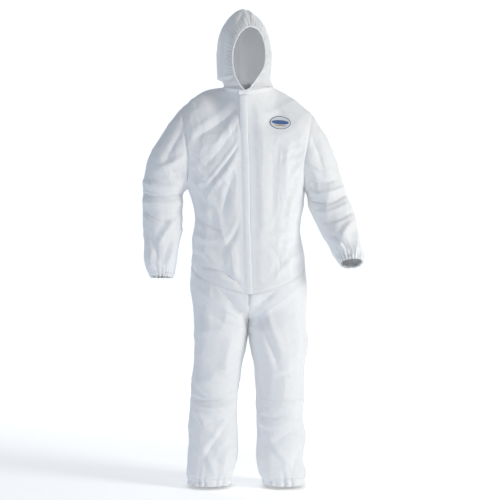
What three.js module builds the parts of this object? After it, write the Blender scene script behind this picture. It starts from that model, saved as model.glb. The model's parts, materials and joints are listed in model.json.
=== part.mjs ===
/**
 * Disposable hooded protective coverall, shaped as it is when worn.
 *
 * Built as cut and sewn panels: fronts, back, hip panels, sleeves, legs and a
 * hood, joined by soft bridging pieces where the garment bends, with a zip,
 * its slider and tab, a storm flap and elastics at hood, waist, wrists and
 * ankles.  Millimetres, +Z up, front towards -Y, wearer's left towards +X.
 * Heights are measured from the trouser hems; the group is lowered at the end
 * so that the origin is the middle of the neck opening.
 */
import * as THREE from 'three';
import { mergeVertices } from 'three/addons/utils/BufferGeometryUtils.js';

// ---- Fabric and gaps ------------------------------------------------------
const WALL = 1.6; // stand-in wall of the thin non-woven fabric
const SEAM_GAP = 2; // gap between two panels at a sewn seam
const RING_GAP = 3; // gap along a tube between two pieces
const CLEARANCE = 0.5; // between stacked small pieces

// ---- Heights above the trouser hems ---------------------------------------
const CROWN_HEIGHT = 1750;
const NECK_HEIGHT = 1462; // middle of the neck opening, the part's origin
const CHEST_HEIGHT = 1290;
const ARMPIT_HEIGHT = 1098;
const WAIST_HEIGHT = 925;
const SIDE_SEAM_HEIGHT = 818; // body to leg seam at the side
const CENTRE_SEAM_HEIGHT = 712; // body to leg seam at the centre front
const CROTCH_HEIGHT = 580;
const KNEE_HEIGHT = 300;

// ---- Trunk ----------------------------------------------------------------
const CHEST_HALF_WIDTH = 208;
const WAIST_HALF_WIDTH = 196;
const HIP_HALF_WIDTH = 212;
const CROTCH_HALF_WIDTH = 207;
const FRONT_DEPTH_TOP = 104; // centre front, at the neck
const FRONT_DEPTH_BOTTOM = 130; // centre front, at the body to leg seam
const BACK_DEPTH = 128;
const SEAT_DEPTH = 132;
const CROTCH_DEPTH = 112;
const TRUNK_SQUARENESS = 2.3; // exponent of the trunk's oval section

// ---- Neck and shoulders ---------------------------------------------------
const NECK_HALF_WIDTH = 92;
const NECK_FRONT_DROP = 14;
const NECK_BACK_RISE = 18;
const NECK_BACK_DEPTH = 84;
const SHOULDER_TIP_X = CHEST_HALF_WIDTH + 32;
const SHOULDER_TIP_HEIGHT = 1378;
const SHOULDER_ROUNDING = 20; // how far the shoulder line bows up
const ARMHOLE_HALF_DEPTH = 78;

// ---- Zip and storm flap ---------------------------------------------------
const ZIP_TOP = new THREE.Vector3(-11, -FRONT_DEPTH_TOP, 1436);
const ZIP_BOTTOM = new THREE.Vector3(8, -FRONT_DEPTH_BOTTOM, 722);
const CHAIN_WIDTH = 5;
const CHAIN_FRONT = 0.5; // behind the centre-front line
const TAPE_WIDTH = 13;
const TAPE_THICKNESS = 0.6;
const PANEL_TO_CHAIN = 2; // from the chain to the folded panel edge
const TAPE_SETBACK = 5; // tapes are sewn behind the panel edges
const SLIDER_WIDTH = 8;
const SLIDER_LENGTH = 11;
const SLIDER_THICKNESS = 1.4;
const TAB_WIDTH = 6;
const TAB_LENGTH = 24;
const TAB_THICKNESS = 1.2;
const SLIDER_REST = 8; // below the top end of the chain
const STOP_HALF_WIDTH = 3.1;
const FLAP_WIDTH = 34;
const FLAP_THICKNESS = 1.2;
const FLAP_HINGE_OFFSET = 18; // sewn edge, beside the chain's middle
const CHIN_TAB_WIDTH = 46;
const CHIN_TAB_HEIGHT = 16;
const CHIN_TAB_LIFT = 2; // out from the centre-front line, and up from the chain's end

const CHEST_SHARE = 0.72; // of a body panel's rows that lie below the chest row

// ---- Sleeves --------------------------------------------------------------
const SHOULDER_PIVOT_X = CHEST_HALF_WIDTH - 3;
const SHOULDER_PIVOT_HEIGHT = 1300;
const UPPER_ARM_LENGTH = 258;
const FOREARM_LENGTH = 300;
const UPPER_ARM_RADIUS = 69;
const ELBOW_RADIUS = 66;
const WRIST_RADIUS = 54;
const CUFF_RADIUS = 40;
const CUFF_HEM_LENGTH = 22;
const CAP_END_OVER = 118; // end of the sleeve cap over the shoulder, down the arm
const CAP_END_UNDER = 206; // and under the arm
const SHOULDER_FULLNESS = 26;
const ELBOW_FOLD_ABOVE = 20;
const ELBOW_FOLD_BELOW = 12; // more than the elbow's radius

// ---- Legs -----------------------------------------------------------------
const HIP_PIVOT_HEIGHT = 655;
const THIGH_TOP_HEIGHT = 512;
const THIGH_HALF_WIDTH = 98;
const KNEE_HALF_WIDTH = 86;
const HEM_HALF_WIDTH = 84;
const THIGH_HALF_DEPTH = 102;
const KNEE_HALF_DEPTH = 88;
const HEM_HALF_DEPTH = 86;
const ANKLE_HEM_LENGTH = 28;
const THIGH_CENTRE_X = 107;
const KNEE_CENTRE_X = 121;
const HEM_CENTRE_X = 138;

// ---- Hood -----------------------------------------------------------------
const HOOD_CENTRE_X = -17;
const HOOD_HALF_WIDTH = 97;
const HOOD_FRONT_DEPTH = 118;
const HOOD_BACK_DEPTH = 138;
const HOOD_WIDEST_HEIGHT = 1575;
const HOOD_BOTTOM_HEIGHT = 1503;
const HOOD_TAPER = 0.45; // narrowing towards the neck, 1 would be a half circle
const CROWN_POINT = 1.06; // over 1 draws the crown up to a slight point
const HOOD_FULLNESS = 0.86; // under 1 fills the dome out
const HOOD_TURN = THREE.MathUtils.degToRad(10); // towards the wearer's left
const FACE_CENTRE_HEIGHT = 1578;
const FACE_HALF_HEIGHT = 111;
const FACE_HALF_WIDTH = 60;
const FACE_HEM_WIDTH = 12;
const FACE_HEM_LIFT = 3;
const NECK_FOLD_SETBACK = 15; // behind the bottom of the face opening

// ---- Small parts ----------------------------------------------------------
const PATCH_WIDTH = 74;
const PATCH_HEIGHT = 47;
const PATCH_THICKNESS = 0.8;
const PATCH_LIFT = CHEST_HALF_WIDTH / 130; // a wider chest has deeper flats under the patch
const PATCH_X = 116;
const PATCH_CENTRE_HEIGHT = 1324;
const PATCH_SPREAD = 0.93; // turns a share of the shoulder's width into one along the row
const PATCH_ROW_STEP = 0.2; // rows for each chest-to-neck height, below the chest row
const ELASTIC_WIDTH = 6;
const ELASTIC_THICKNESS = 1.2;
const WAIST_ELASTIC_SPAN = 0.62; // share of the back between the side seams
const SIZE_LABEL_WIDTH = 42;
const SIZE_LABEL_HEIGHT = 30;
const SIZE_LABEL_DROP = 12;

/** Arm poses: sideways angles and the forward swing of the forearm, degrees. */
const ARMS = [
  { name: 'right', side: -1, upperOut: 25, foreOut: 0, foreForward: 8 },
  { name: 'left', side: 1, upperOut: 21, foreOut: 17, foreForward: 30 },
];

const { lerp, smoothstep, degToRad, clamp } = THREE.MathUtils;
const suit = new THREE.Group();

// ---- Materials ------------------------------------------------------------
const material = (color, roughness, metalness = 0) =>
  new THREE.MeshStandardMaterial({ color, roughness, metalness });

const nonWoven = () => material('#e4e5e8', 0.85);
const coatedBinding = () => material('#eceded', 0.7);
const elasticThread = () => material('#f2f2f0', 0.8);
const zipTape = () => material('#e9eaec', 0.8);
const zipCoil = () => material('#f0f1f2', 0.4);
const plasticSlider = () => material('#e6e8ea', 0.35);
const labelFilm = () => material('#d9dde1', 0.5);

/** Adds one named mesh to a group. */
function addPart(name, geometry, finish, parent = suit) {
  const mesh = new THREE.Mesh(geometry, finish);
  mesh.name = name;
  parent.add(mesh);
  return mesh;
}

// ---- Sewn surfaces --------------------------------------------------------

/** A unit normal of a surface p(u, v), from differences that stay inside it. */
function surfaceNormal(surface, u, v) {
  const step = 1e-3;
  const [u0, u1] = [Math.max(u - step, 0), Math.min(u + step, 1)];
  const [v0, v1] = [Math.max(v - step, 0), Math.min(v + step, 1)];
  const alongU = surface(u1, v).sub(surface(u0, v));
  const alongV = surface(u, v1).sub(surface(u, v0));
  return alongU.cross(alongV).normalize();
}

/** Moves every vertex of a geometry and merges the ones that then coincide. */
function reshape(geometry, move) {
  geometry.deleteAttribute('normal');
  geometry.deleteAttribute('uv');
  const position = geometry.attributes.position;
  for (let i = 0; i < position.count; i += 1) {
    const moved = move(new THREE.Vector3().fromBufferAttribute(position, i));
    position.setXYZ(i, moved.x, moved.y, moved.z);
  }
  const merged = mergeVertices(geometry, 1e-3);
  merged.computeVertexNormals();
  return merged;
}

/**
 * A slab of fabric: a grid over surface(u, v) with its wall on the inside.
 * The cross product of the surface's u and v directions points outwards.
 */
function panel(surface, { across = 10, up = 10, wall = WALL } = {}) {
  return reshape(new THREE.BoxGeometry(1, 1, 1, across, up, 1), (p) => {
    const u = p.x + 0.5;
    const v = p.y + 0.5;
    const inward = surfaceNormal(surface, u, v).multiplyScalar((p.z - 0.5) * wall);
    return surface(u, v).add(inward);
  });
}

/**
 * A closed tube of fabric: surface(turn, v) goes once round as turn goes from
 * 0 to 1, and its wall lies on the inside.
 */
function tube(surface, { around = 16, along = 3, wall = WALL } = {}) {
  const rim = [];
  for (let i = 0; i <= along; i += 1) rim.push(new THREE.Vector2(2, i / along));
  for (let i = along; i >= 0; i -= 1) rim.push(new THREE.Vector2(1, i / along));
  rim.push(new THREE.Vector2(2, 0));
  const periodic = (turn, v) => surface(((turn % 1) + 1) % 1, v);
  const normal = (turn, v) => {
    const step = 1e-3;
    const alongTurn = periodic(turn + step, v).sub(periodic(turn - step, v));
    const [v0, v1] = [Math.max(v - step, 0), Math.min(v + step, 1)];
    return alongTurn.cross(periodic(turn, v1).sub(periodic(turn, v0))).normalize();
  };
  return reshape(new THREE.LatheGeometry(rim, around), (p) => {
    const turn = Math.round((Math.atan2(p.x, p.z) / (2 * Math.PI)) * around) / around;
    const depth = Math.round(Math.hypot(p.x, p.z)) - 2;
    return periodic(turn, p.y).add(normal(turn, p.y).multiplyScalar(depth * wall));
  });
}

/** Smooth value between listed [position, value] pairs. */
function blendAlong(pairs, at) {
  const last = pairs.length - 1;
  if (at <= pairs[0][0]) return pairs[0][1];
  if (at >= pairs[last][0]) return pairs[last][1];
  const next = pairs.findIndex(([position]) => position > at);
  const [from, to] = [pairs[next - 1], pairs[next]];
  return lerp(from[1], to[1], smoothstep(at, from[0], to[0]));
}

/** Cubic curve from a to b that leaves along fromTangent and arrives along toTangent. */
function hermite(a, fromTangent, b, toTangent, t) {
  const [t2, t3] = [t * t, t * t * t];
  return new THREE.Vector3()
    .addScaledVector(a, 2 * t3 - 3 * t2 + 1)
    .addScaledVector(fromTangent, t3 - 2 * t2 + t)
    .addScaledVector(b, 3 * t2 - 2 * t3)
    .addScaledVector(toTangent, t3 - t2);
}

// ---- Trunk shape ----------------------------------------------------------

/** Point of the straight centre-front line at a height. */
function centreFront(height) {
  const share = (height - ZIP_BOTTOM.z) / (ZIP_TOP.z - ZIP_BOTTOM.z);
  return new THREE.Vector3().lerpVectors(ZIP_BOTTOM, ZIP_TOP, share);
}

/** Half width of the body at a height: side seam, then armhole seam. */
function trunkHalfWidth(height) {
  return blendAlong([
    [CROTCH_HEIGHT, CROTCH_HALF_WIDTH],
    [CENTRE_SEAM_HEIGHT, HIP_HALF_WIDTH],
    [WAIST_HEIGHT, WAIST_HALF_WIDTH],
    [ARMPIT_HEIGHT, CHEST_HALF_WIDTH],
    [CHEST_HEIGHT, lerp(CHEST_HALF_WIDTH, SHOULDER_TIP_X, 0.3)],
  ], height);
}

/** Depth of the centre front or centre back at a height. */
function trunkDepth(height, facing) {
  if (facing < 0) {
    const straight = -centreFront(height).y;
    const low = smoothstep(height, CROTCH_HEIGHT, CENTRE_SEAM_HEIGHT);
    return lerp(CROTCH_DEPTH, straight, low);
  }
  return blendAlong([
    [CROTCH_HEIGHT, CROTCH_DEPTH],
    [CENTRE_SEAM_HEIGHT, SEAT_DEPTH],
    [WAIST_HEIGHT, BACK_DEPTH - 14],
    [CHEST_HEIGHT, BACK_DEPTH],
  ], height);
}

/** Half depth of the body's edge: zero on the side seam, an oval on the armhole. */
function edgeDepth(height) {
  const middle = (ARMPIT_HEIGHT + SHOULDER_TIP_HEIGHT) / 2;
  const reach = (SHOULDER_TIP_HEIGHT - ARMPIT_HEIGHT) / 2;
  const share = (height - middle) / reach;
  return share <= -1 ? 0 : ARMHOLE_HALF_DEPTH * Math.sqrt(1 - share * share);
}

/**
 * Point on a level row of the trunk.
 * across 0 is the centre seam and 1 the side or armhole seam; side is -1 or
 * 1 in x, facing -1 for the front and 1 for the back.
 */
function trunkRow(across, height, side, facing, centreGap = 0) {
  const depth = trunkDepth(height, facing);
  const edge = Math.acos((edgeDepth(height) / depth) ** (TRUNK_SQUARENESS / 2));
  const angle = across * edge;
  const reach = (Math.sin(angle) / Math.sin(edge)) ** (2 / TRUNK_SQUARENESS);
  const centreX = facing < 0 ? centreFront(height).x : 0;
  const x = lerp(centreX + side * centreGap, side * trunkHalfWidth(height), reach);
  const y = facing * depth * Math.cos(angle) ** (2 / TRUNK_SQUARENESS);
  return new THREE.Vector3(x, y + facing * SEAM_GAP * 0.5, height);
}

/** The top edge of a front or back: half the neckline, then the shoulder line. */
function topEdge(across, side, facing, centreGap) {
  const neckShare = 0.4;
  if (across < neckShare) {
    const angle = (across / neckShare) * Math.PI * 0.5;
    const depth = facing < 0 ? FRONT_DEPTH_TOP : NECK_BACK_DEPTH;
    const rise = facing < 0 ? -NECK_FRONT_DROP : NECK_BACK_RISE;
    const centreX = facing < 0 ? centreFront(NECK_HEIGHT).x : 0;
    const x = lerp(centreX + side * centreGap, side * NECK_HALF_WIDTH, Math.sin(angle));
    const y = facing * (depth * Math.cos(angle) + SEAM_GAP * 0.5);
    return new THREE.Vector3(x, y, NECK_HEIGHT + 8 + rise * Math.cos(angle) ** 2);
  }
  const share = (across - neckShare) / (1 - neckShare);
  const straight = lerp(NECK_HEIGHT + 8, SHOULDER_TIP_HEIGHT, share);
  const bow = SHOULDER_ROUNDING * Math.sin(share * Math.PI) ** 1.2;
  const x = side * lerp(NECK_HALF_WIDTH, SHOULDER_TIP_X, share);
  return new THREE.Vector3(x, facing * SEAM_GAP * 0.5, straight + bow);
}

/** Point of the upper body between the chest row and the neck and shoulder edge. */
function yokePoint(across, rise, side, facing, centreGap) {
  const from = trunkRow(across, CHEST_HEIGHT, side, facing, centreGap);
  const to = topEdge(across, side, facing, centreGap);
  const chord = to.clone().sub(from);
  const overShoulder = smoothstep(across, 0.15, 0.6);
  const up = chord.clone().lerp(new THREE.Vector3(0, 0, chord.z * 1.3), overShoulder);
  const over = chord.clone().lerp(
    new THREE.Vector3(0, -facing * Math.abs(chord.y) * 1.6, 0),
    overShoulder,
  );
  return hermite(from, up, to, over, rise);
}

/** Height of the V seam between body and legs at a share of the way to the side. */
const bodySeamHeight = (across) =>
  lerp(CENTRE_SEAM_HEIGHT, SIDE_SEAM_HEIGHT, across ** 1.15);

/** A whole body panel from the V seam up to the neck and shoulder. */
function bodySurface(side, facing, centreGap) {
  return (across, v) => {
    if (v > CHEST_SHARE) {
      const rise = (v - CHEST_SHARE) / (1 - CHEST_SHARE);
      return yokePoint(across, rise, side, facing, centreGap);
    }
    const bottom = bodySeamHeight(across) + SEAM_GAP;
    const height = lerp(bottom, CHEST_HEIGHT, v / CHEST_SHARE);
    return trunkRow(across, height, side, facing, centreGap);
  };
}

/** Swaps the u direction where needed so that the surface faces outwards. */
const facingOut = (surface, flip) => (u, v) => surface(flip ? 1 - u : u, v);

function buildTrunk() {
  const zipGap = CHAIN_WIDTH / 2 + PANEL_TO_CHAIN;
  for (const { name, side } of ARMS) {
    const front = bodySurface(side, -1, zipGap);
    const shape = panel(facingOut(front, side < 0), { across: 9, up: 16 });
    addPart(`${name}_front_panel`, shape, nonWoven());
    const hip = hipSurface(side);
    addPart(`${name}_hip_panel`, panel(facingOut(hip, side > 0), { across: 16, up: 4 }), nonWoven());
  }
  const halfBack = [bodySurface(-1, 1, 0), bodySurface(1, 1, 0)];
  const wholeBack = (u, v) => (u < 0.5
    ? halfBack[1](1 - 2 * u, v)
    : halfBack[0](2 * u - 1, v));
  addPart('back_panel', panel(wholeBack, { across: 18, up: 16 }), nonWoven());
}

/** One leg top: round the side from the centre front to the centre back. */
function hipSurface(side) {
  return (u, v) => {
    const facing = u < 0.5 ? 1 : -1;
    const across = Math.abs(1 - 2 * u) ** 0.9;
    const toSide = 1 - across;
    const top = bodySeamHeight(toSide) - SEAM_GAP;
    const height = lerp(CROTCH_HEIGHT, top, v);
    const gap = SEAM_GAP / 2;
    const point = trunkRow(toSide, height, side, facing, gap);
    if (facing > 0) point.x += side * gap;
    return point;
  };
}

// ---- Tubes of sleeves and legs --------------------------------------------

/**
 * Point on an oval ring.
 * turn 0 is the outer side; a quarter turn later comes the front for a ring on
 * the wearer's left, and the rings on the right are mirrored.
 */
function ovalPoint(centre, outward, forward, halfWidth, halfDepth, turn) {
  const angle = turn * 2 * Math.PI;
  return centre.clone()
    .addScaledVector(outward, halfWidth * Math.cos(angle))
    .addScaledVector(forward, halfDepth * Math.sin(angle));
}

/** The frame of a limb: where it starts, its direction and its cross axes. */
function limbFrame(start, direction, side) {
  const outward = new THREE.Vector3(side, 0, 0);
  outward.addScaledVector(direction, -outward.dot(direction)).normalize();
  const forward = new THREE.Vector3(0, -1, 0);
  forward.addScaledVector(direction, -forward.dot(direction));
  forward.addScaledVector(outward, -forward.dot(outward)).normalize();
  return { start, direction, outward, forward };
}

/** Ring of a limb at a distance from its start. */
function limbRing(limb, distance, halfWidth, halfDepth, turn) {
  const centre = limb.start.clone().addScaledVector(limb.direction, distance);
  return ovalPoint(centre, limb.outward, limb.forward, halfWidth, halfDepth, turn);
}

/** Tube surface with its top at v = 0, turned so that it faces outwards. */
function limbSurface(ring, side) {
  return (turn, v) => ring(side > 0 ? turn : 1 - turn, v);
}

/** Adds a closed tube; ring(turn, v) runs down the limb. */
function addTube(name, side, ring, finish, options = {}) {
  const upward = limbSurface((turn, v) => ring(turn, 1 - v), -side);
  return addPart(name, tube(upward, options), finish);
}

/** Adds a thin elastic band lying inside the end of a tube. */
function addElastic(name, side, limb, distance, halfWidth, halfDepth) {
  const inset = WALL + CLEARANCE;
  addTube(name, side, (turn, v) => limbRing(
    limb,
    distance + v * ELASTIC_WIDTH,
    halfWidth - inset,
    halfDepth - inset,
    turn,
  ), elasticThread(), { along: 1, wall: ELASTIC_THICKNESS });
}

/** Direction of an arm piece from its sideways and forward angles. */
function armDirection(side, out, forward) {
  const [o, f] = [degToRad(out), degToRad(forward)];
  return new THREE.Vector3(
    side * Math.sin(o) * Math.cos(f),
    -Math.sin(f),
    -Math.cos(o) * Math.cos(f),
  );
}

/** Armhole seam of one side; turn 0 is the shoulder tip. */
function armholePoint(turn, side) {
  const angle = turn * 2 * Math.PI;
  const middle = (ARMPIT_HEIGHT + SHOULDER_TIP_HEIGHT) / 2;
  const reach = (SHOULDER_TIP_HEIGHT - ARMPIT_HEIGHT) / 2;
  const height = middle + reach * Math.cos(angle);
  const tip = smoothstep(height, CHEST_HEIGHT, SHOULDER_TIP_HEIGHT);
  const x = lerp(trunkHalfWidth(height), SHOULDER_TIP_X, tip);
  return new THREE.Vector3(
    side * (x + RING_GAP + 1),
    -(ARMHOLE_HALF_DEPTH + 1) * Math.sin(angle),
    height,
  );
}

function buildSleeve({ name, side, upperOut, foreOut, foreForward }) {
  const pivot = new THREE.Vector3(side * SHOULDER_PIVOT_X, 0, SHOULDER_PIVOT_HEIGHT);
  const upper = limbFrame(pivot, armDirection(side, upperOut, 0), side);
  const elbow = pivot.clone().addScaledVector(upper.direction, UPPER_ARM_LENGTH);
  const fore = limbFrame(elbow, armDirection(side, foreOut, foreForward), side);

  // the top of the upper sleeve slants: short over the shoulder, long below
  const slantTop = (turn) => lerp(
    CAP_END_UNDER,
    CAP_END_OVER,
    0.5 + 0.5 * Math.cos(turn * 2 * Math.PI),
  );
  const upperEnd = UPPER_ARM_LENGTH - ELBOW_FOLD_ABOVE;
  const upperRadius = (distance) => lerp(
    UPPER_ARM_RADIUS,
    ELBOW_RADIUS,
    clamp(distance / UPPER_ARM_LENGTH, 0, 1),
  );
  const upperRing = (turn, distance) =>
    limbRing(upper, distance, upperRadius(distance), upperRadius(distance), turn);
  addTube(`${name}_sleeve_cap`, side, (turn, v) => {
    const from = armholePoint(turn, side);
    const to = upperRing(turn, slantTop(turn) - RING_GAP);
    const over = Math.max(Math.cos(turn * 2 * Math.PI), 0);
    const bulge = SHOULDER_FULLNESS * Math.sin(v * Math.PI) * over;
    return from.lerp(to, v).addScaledVector(upper.outward, bulge);
  }, nonWoven(), { along: 3 });
  addTube(`${name}_upper_sleeve`, side, (turn, v) =>
    upperRing(turn, lerp(slantTop(turn), upperEnd, v)), nonWoven());

  const foreTop = ELBOW_RADIUS + ELBOW_FOLD_BELOW;
  const foreEnd = FOREARM_LENGTH - CUFF_HEM_LENGTH;
  const foreRadius = (distance) => blendAlong([
    [foreTop, ELBOW_RADIUS],
    [FOREARM_LENGTH * 0.85, WRIST_RADIUS],
    [FOREARM_LENGTH, CUFF_RADIUS],
  ], distance);
  const foreRing = (turn, distance) =>
    limbRing(fore, distance, foreRadius(distance), foreRadius(distance), turn);
  addTube(`${name}_elbow_fold`, side, (turn, v) => {
    const from = upperRing(turn, upperEnd + RING_GAP);
    const to = foreRing(turn, foreTop - RING_GAP);
    const pinch = -5 * Math.sin(v * Math.PI) * Math.sin(turn * 2 * Math.PI);
    return from.lerp(to, v).addScaledVector(upper.forward, pinch);
  }, nonWoven(), { along: 2 });
  addTube(`${name}_forearm_sleeve`, side, (turn, v) =>
    foreRing(turn, lerp(foreTop, foreEnd, v)), nonWoven(), { along: 5 });
  addTube(`${name}_cuff_hem`, side, (turn, v) =>
    foreRing(turn, lerp(foreEnd + CLEARANCE, FOREARM_LENGTH, v)), nonWoven(), { along: 1 });
  const bandAt = FOREARM_LENGTH - ELASTIC_WIDTH - 4;
  addElastic(`${name}_cuff_elastic`, side, fore, bandAt, CUFF_RADIUS, CUFF_RADIUS);
}

/** Centre line, half width and half depth of a leg at a height. */
function legSection(height, side) {
  const centre = blendAlong([
    [0, HEM_CENTRE_X],
    [KNEE_HEIGHT, KNEE_CENTRE_X],
    [THIGH_TOP_HEIGHT, THIGH_CENTRE_X],
  ], height);
  const width = blendAlong([
    [0, HEM_HALF_WIDTH],
    [KNEE_HEIGHT, KNEE_HALF_WIDTH],
    [THIGH_TOP_HEIGHT, THIGH_HALF_WIDTH],
  ], height);
  const depth = blendAlong([
    [0, HEM_HALF_DEPTH],
    [KNEE_HEIGHT, KNEE_HALF_DEPTH],
    [THIGH_TOP_HEIGHT, THIGH_HALF_DEPTH],
  ], height);
  return { centre: new THREE.Vector3(side * centre, 0, height), width, depth };
}

function legRing(turn, height, side) {
  const { centre, width, depth } = legSection(height, side);
  const outward = new THREE.Vector3(side, 0, 0);
  const forward = new THREE.Vector3(0, -1, 0);
  return ovalPoint(centre, outward, forward, width, depth, turn);
}

/** The D-shaped ring at the crotch: half the trunk section and a straight inner side. */
function crotchRing(turn, height, side) {
  const angle = turn * 2 * Math.PI;
  const half = trunkHalfWidth(height) / 2 - 1;
  const x = half + 2 + half * Math.cos(angle);
  const squared = Math.abs(Math.sin(angle)) ** 0.75 * Math.sign(Math.sin(angle));
  return new THREE.Vector3(side * x, -(CROTCH_DEPTH - 3) * squared, height);
}

function buildLeg({ name, side }) {
  const kneeTop = KNEE_HEIGHT + 20;
  const shinTop = KNEE_HEIGHT - KNEE_HALF_DEPTH - 17;
  const hemTop = ANKLE_HEM_LENGTH;
  addTube(`${name}_hip_fold`, side, (turn, v) => {
    const from = crotchRing(turn, CROTCH_HEIGHT - RING_GAP, side);
    const to = legRing(turn, THIGH_TOP_HEIGHT + RING_GAP, side);
    return from.lerp(to, v);
  }, nonWoven(), { along: 2 });
  const stretches = [
    ['thigh_leg', THIGH_TOP_HEIGHT, kneeTop, 3],
    ['knee_fold', kneeTop - RING_GAP, shinTop + RING_GAP, 2],
    ['shin_leg', shinTop, hemTop + CLEARANCE, 3],
    ['ankle_hem', hemTop, 0, 1],
  ];
  for (const [piece, top, bottom, along] of stretches) {
    addTube(`${name}_${piece}`, side, (turn, v) =>
      legRing(turn, lerp(top, bottom, v), side), nonWoven(), { along });
  }
  const ankle = limbFrame(
    new THREE.Vector3(legSection(0, side).centre.x, 0, ANKLE_HEM_LENGTH / 2),
    new THREE.Vector3(0, 0, -1),
    side,
  );
  addElastic(`${name}_ankle_elastic`, side, ankle, 0, HEM_HALF_WIDTH, HEM_HALF_DEPTH);
}

// ---- Hood -----------------------------------------------------------------

/** Height and size factor of the hood's level section; rise runs from bottom to crown. */
function hoodSection(rise) {
  const span = CROWN_HEIGHT - HOOD_WIDEST_HEIGHT;
  const below = (HOOD_WIDEST_HEIGHT - HOOD_BOTTOM_HEIGHT) / span;
  const angle = lerp(-Math.asin(below * HOOD_TAPER), Math.PI * 0.5 * 0.985, rise);
  const height = angle < 0
    ? HOOD_WIDEST_HEIGHT + (Math.sin(angle) * span) / HOOD_TAPER
    : HOOD_WIDEST_HEIGHT + Math.sin(angle) ** CROWN_POINT * span;
  return { height, size: Math.cos(angle) ** HOOD_FULLNESS };
}

/** Point of the hood at an angle round it, 0 at the front and pi at the back. */
function hoodPoint(angle, rise, side) {
  const { height, size } = hoodSection(rise);
  const depth = lerp(HOOD_FRONT_DEPTH, HOOD_BACK_DEPTH, (1 - Math.cos(angle)) / 2);
  const local = new THREE.Vector3(
    side * HOOD_HALF_WIDTH * size * Math.sin(angle),
    -depth * size * Math.cos(angle),
    0,
  );
  local.applyAxisAngle(new THREE.Vector3(0, 0, 1), HOOD_TURN);
  return local.add(new THREE.Vector3(HOOD_CENTRE_X, 0, height));
}

/** Angle at which the face opening begins at a height. */
function faceAngle(height, margin = 0) {
  const share = (height - FACE_CENTRE_HEIGHT) / (FACE_HALF_HEIGHT + margin);
  if (Math.abs(share) >= 1) return 0;
  const half = (FACE_HALF_WIDTH + margin) * Math.sqrt(1 - share * share);
  return Math.asin(half / HOOD_HALF_WIDTH);
}

function hoodSurface(side) {
  const edge = CLEARANCE;
  return (u, v) => {
    const { height, size } = hoodSection(v);
    const seam = Math.min(edge / Math.max(HOOD_HALF_WIDTH * size, 1), 0.1);
    const from = Math.max(faceAngle(height, FACE_HEM_WIDTH + 2 * RING_GAP), seam);
    return hoodPoint(lerp(from, Math.PI - seam, u), v, side);
  };
}

/** Size factor of the hood's level section at a height. */
function hoodSize(height) {
  const share = (height - HOOD_WIDEST_HEIGHT) / (CROWN_HEIGHT - HOOD_WIDEST_HEIGHT);
  const sine = share < 0 ? share * HOOD_TAPER : share ** (1 / CROWN_POINT);
  return Math.sqrt(1 - sine * sine) ** HOOD_FULLNESS;
}

/** Point of the face opening's rim; turn 0 is its top, lift is out from the hood. */
function facePoint(turn, grow, lift) {
  const angle = turn * 2 * Math.PI;
  const height = FACE_CENTRE_HEIGHT + (FACE_HALF_HEIGHT + grow) * Math.cos(angle);
  const half = (FACE_HALF_WIDTH + grow) * Math.sin(angle);
  const size = hoodSize(height);
  const round = Math.asin(clamp(half / (HOOD_HALF_WIDTH * size), -1, 1));
  const depth = lerp(HOOD_FRONT_DEPTH, HOOD_BACK_DEPTH, (1 - Math.cos(round)) / 2);
  const local = new THREE.Vector3(half, -depth * size * Math.cos(round) - lift, 0);
  local.applyAxisAngle(new THREE.Vector3(0, 0, 1), HOOD_TURN);
  return local.add(new THREE.Vector3(HOOD_CENTRE_X, 0, height));
}

/** Ring round the neck opening, turn 0 at the wearer's left. */
function neckPoint(turn, grow, lift) {
  const angle = turn * 2 * Math.PI;
  const front = Math.sin(angle) < 0;
  const depth = (front ? FRONT_DEPTH_TOP : NECK_BACK_DEPTH) + grow;
  const rise = front ? -NECK_FRONT_DROP : NECK_BACK_RISE;
  return new THREE.Vector3(
    (NECK_HALF_WIDTH + grow) * Math.cos(angle),
    depth * Math.sin(angle),
    NECK_HEIGHT + 8 + lift + rise * Math.sin(angle) ** 2,
  );
}

/** Bottom ring of the hood; it dips under the face opening at the front. */
function hoodBottomPoint(turn) {
  const angle = turn * 2 * Math.PI;
  const aroundFront = Math.PI / 2 + angle;
  const side = Math.sin(aroundFront) < 0 ? -1 : 1;
  const fromFront = Math.acos(clamp(Math.cos(aroundFront), -1, 1));
  const point = hoodPoint(fromFront, 0, side);
  const dip = smoothstep(-fromFront, -0.9, -0.45);
  point.z -= RING_GAP + dip * (HOOD_BOTTOM_HEIGHT - NECK_HEIGHT - 4);
  point.y += NECK_FOLD_SETBACK * dip;
  return point;
}

function buildHood() {
  for (const { name, side } of ARMS) {
    const surface = facingOut(hoodSurface(side), side < 0);
    addPart(`hood_${name}_panel`, panel(surface, { across: 12, up: 12 }), nonWoven());
  }
  const hem = (turn, v) => facePoint(1 - turn, (1 - v) * (FACE_HEM_WIDTH - 2), FACE_HEM_LIFT);
  addPart('hood_face_hem', tube(hem, { around: 32, along: 1 }), nonWoven());
  const cord = (turn, v) => facePoint(1 - turn, 5 - v * 3, FACE_HEM_LIFT - 3 * WALL);
  addPart('hood_elastic', tube(cord, { around: 32, along: 1, wall: 1 }), elasticThread());
  const fold = (turn, v) => {
    const from = neckPoint(turn, -WALL, 2.5);
    return from.lerp(hoodBottomPoint(turn), v);
  };
  addPart('neck_fold', tube(fold, { around: 28, along: 2 }), nonWoven());
}

// ---- Zip, storm flap and small trims --------------------------------------

/** A group whose +Z runs up the zip and whose -Y points out of the chest. */
function zipGroup() {
  const group = new THREE.Group();
  const up = ZIP_TOP.clone().sub(ZIP_BOTTOM).normalize();
  const across = new THREE.Vector3(1, 0, 0);
  across.addScaledVector(up, -across.dot(up)).normalize();
  const inward = new THREE.Vector3().crossVectors(up, across);
  group.setRotationFromMatrix(new THREE.Matrix4().makeBasis(across, inward, up));
  group.position.copy(ZIP_BOTTOM);
  suit.add(group);
  return group;
}

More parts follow.
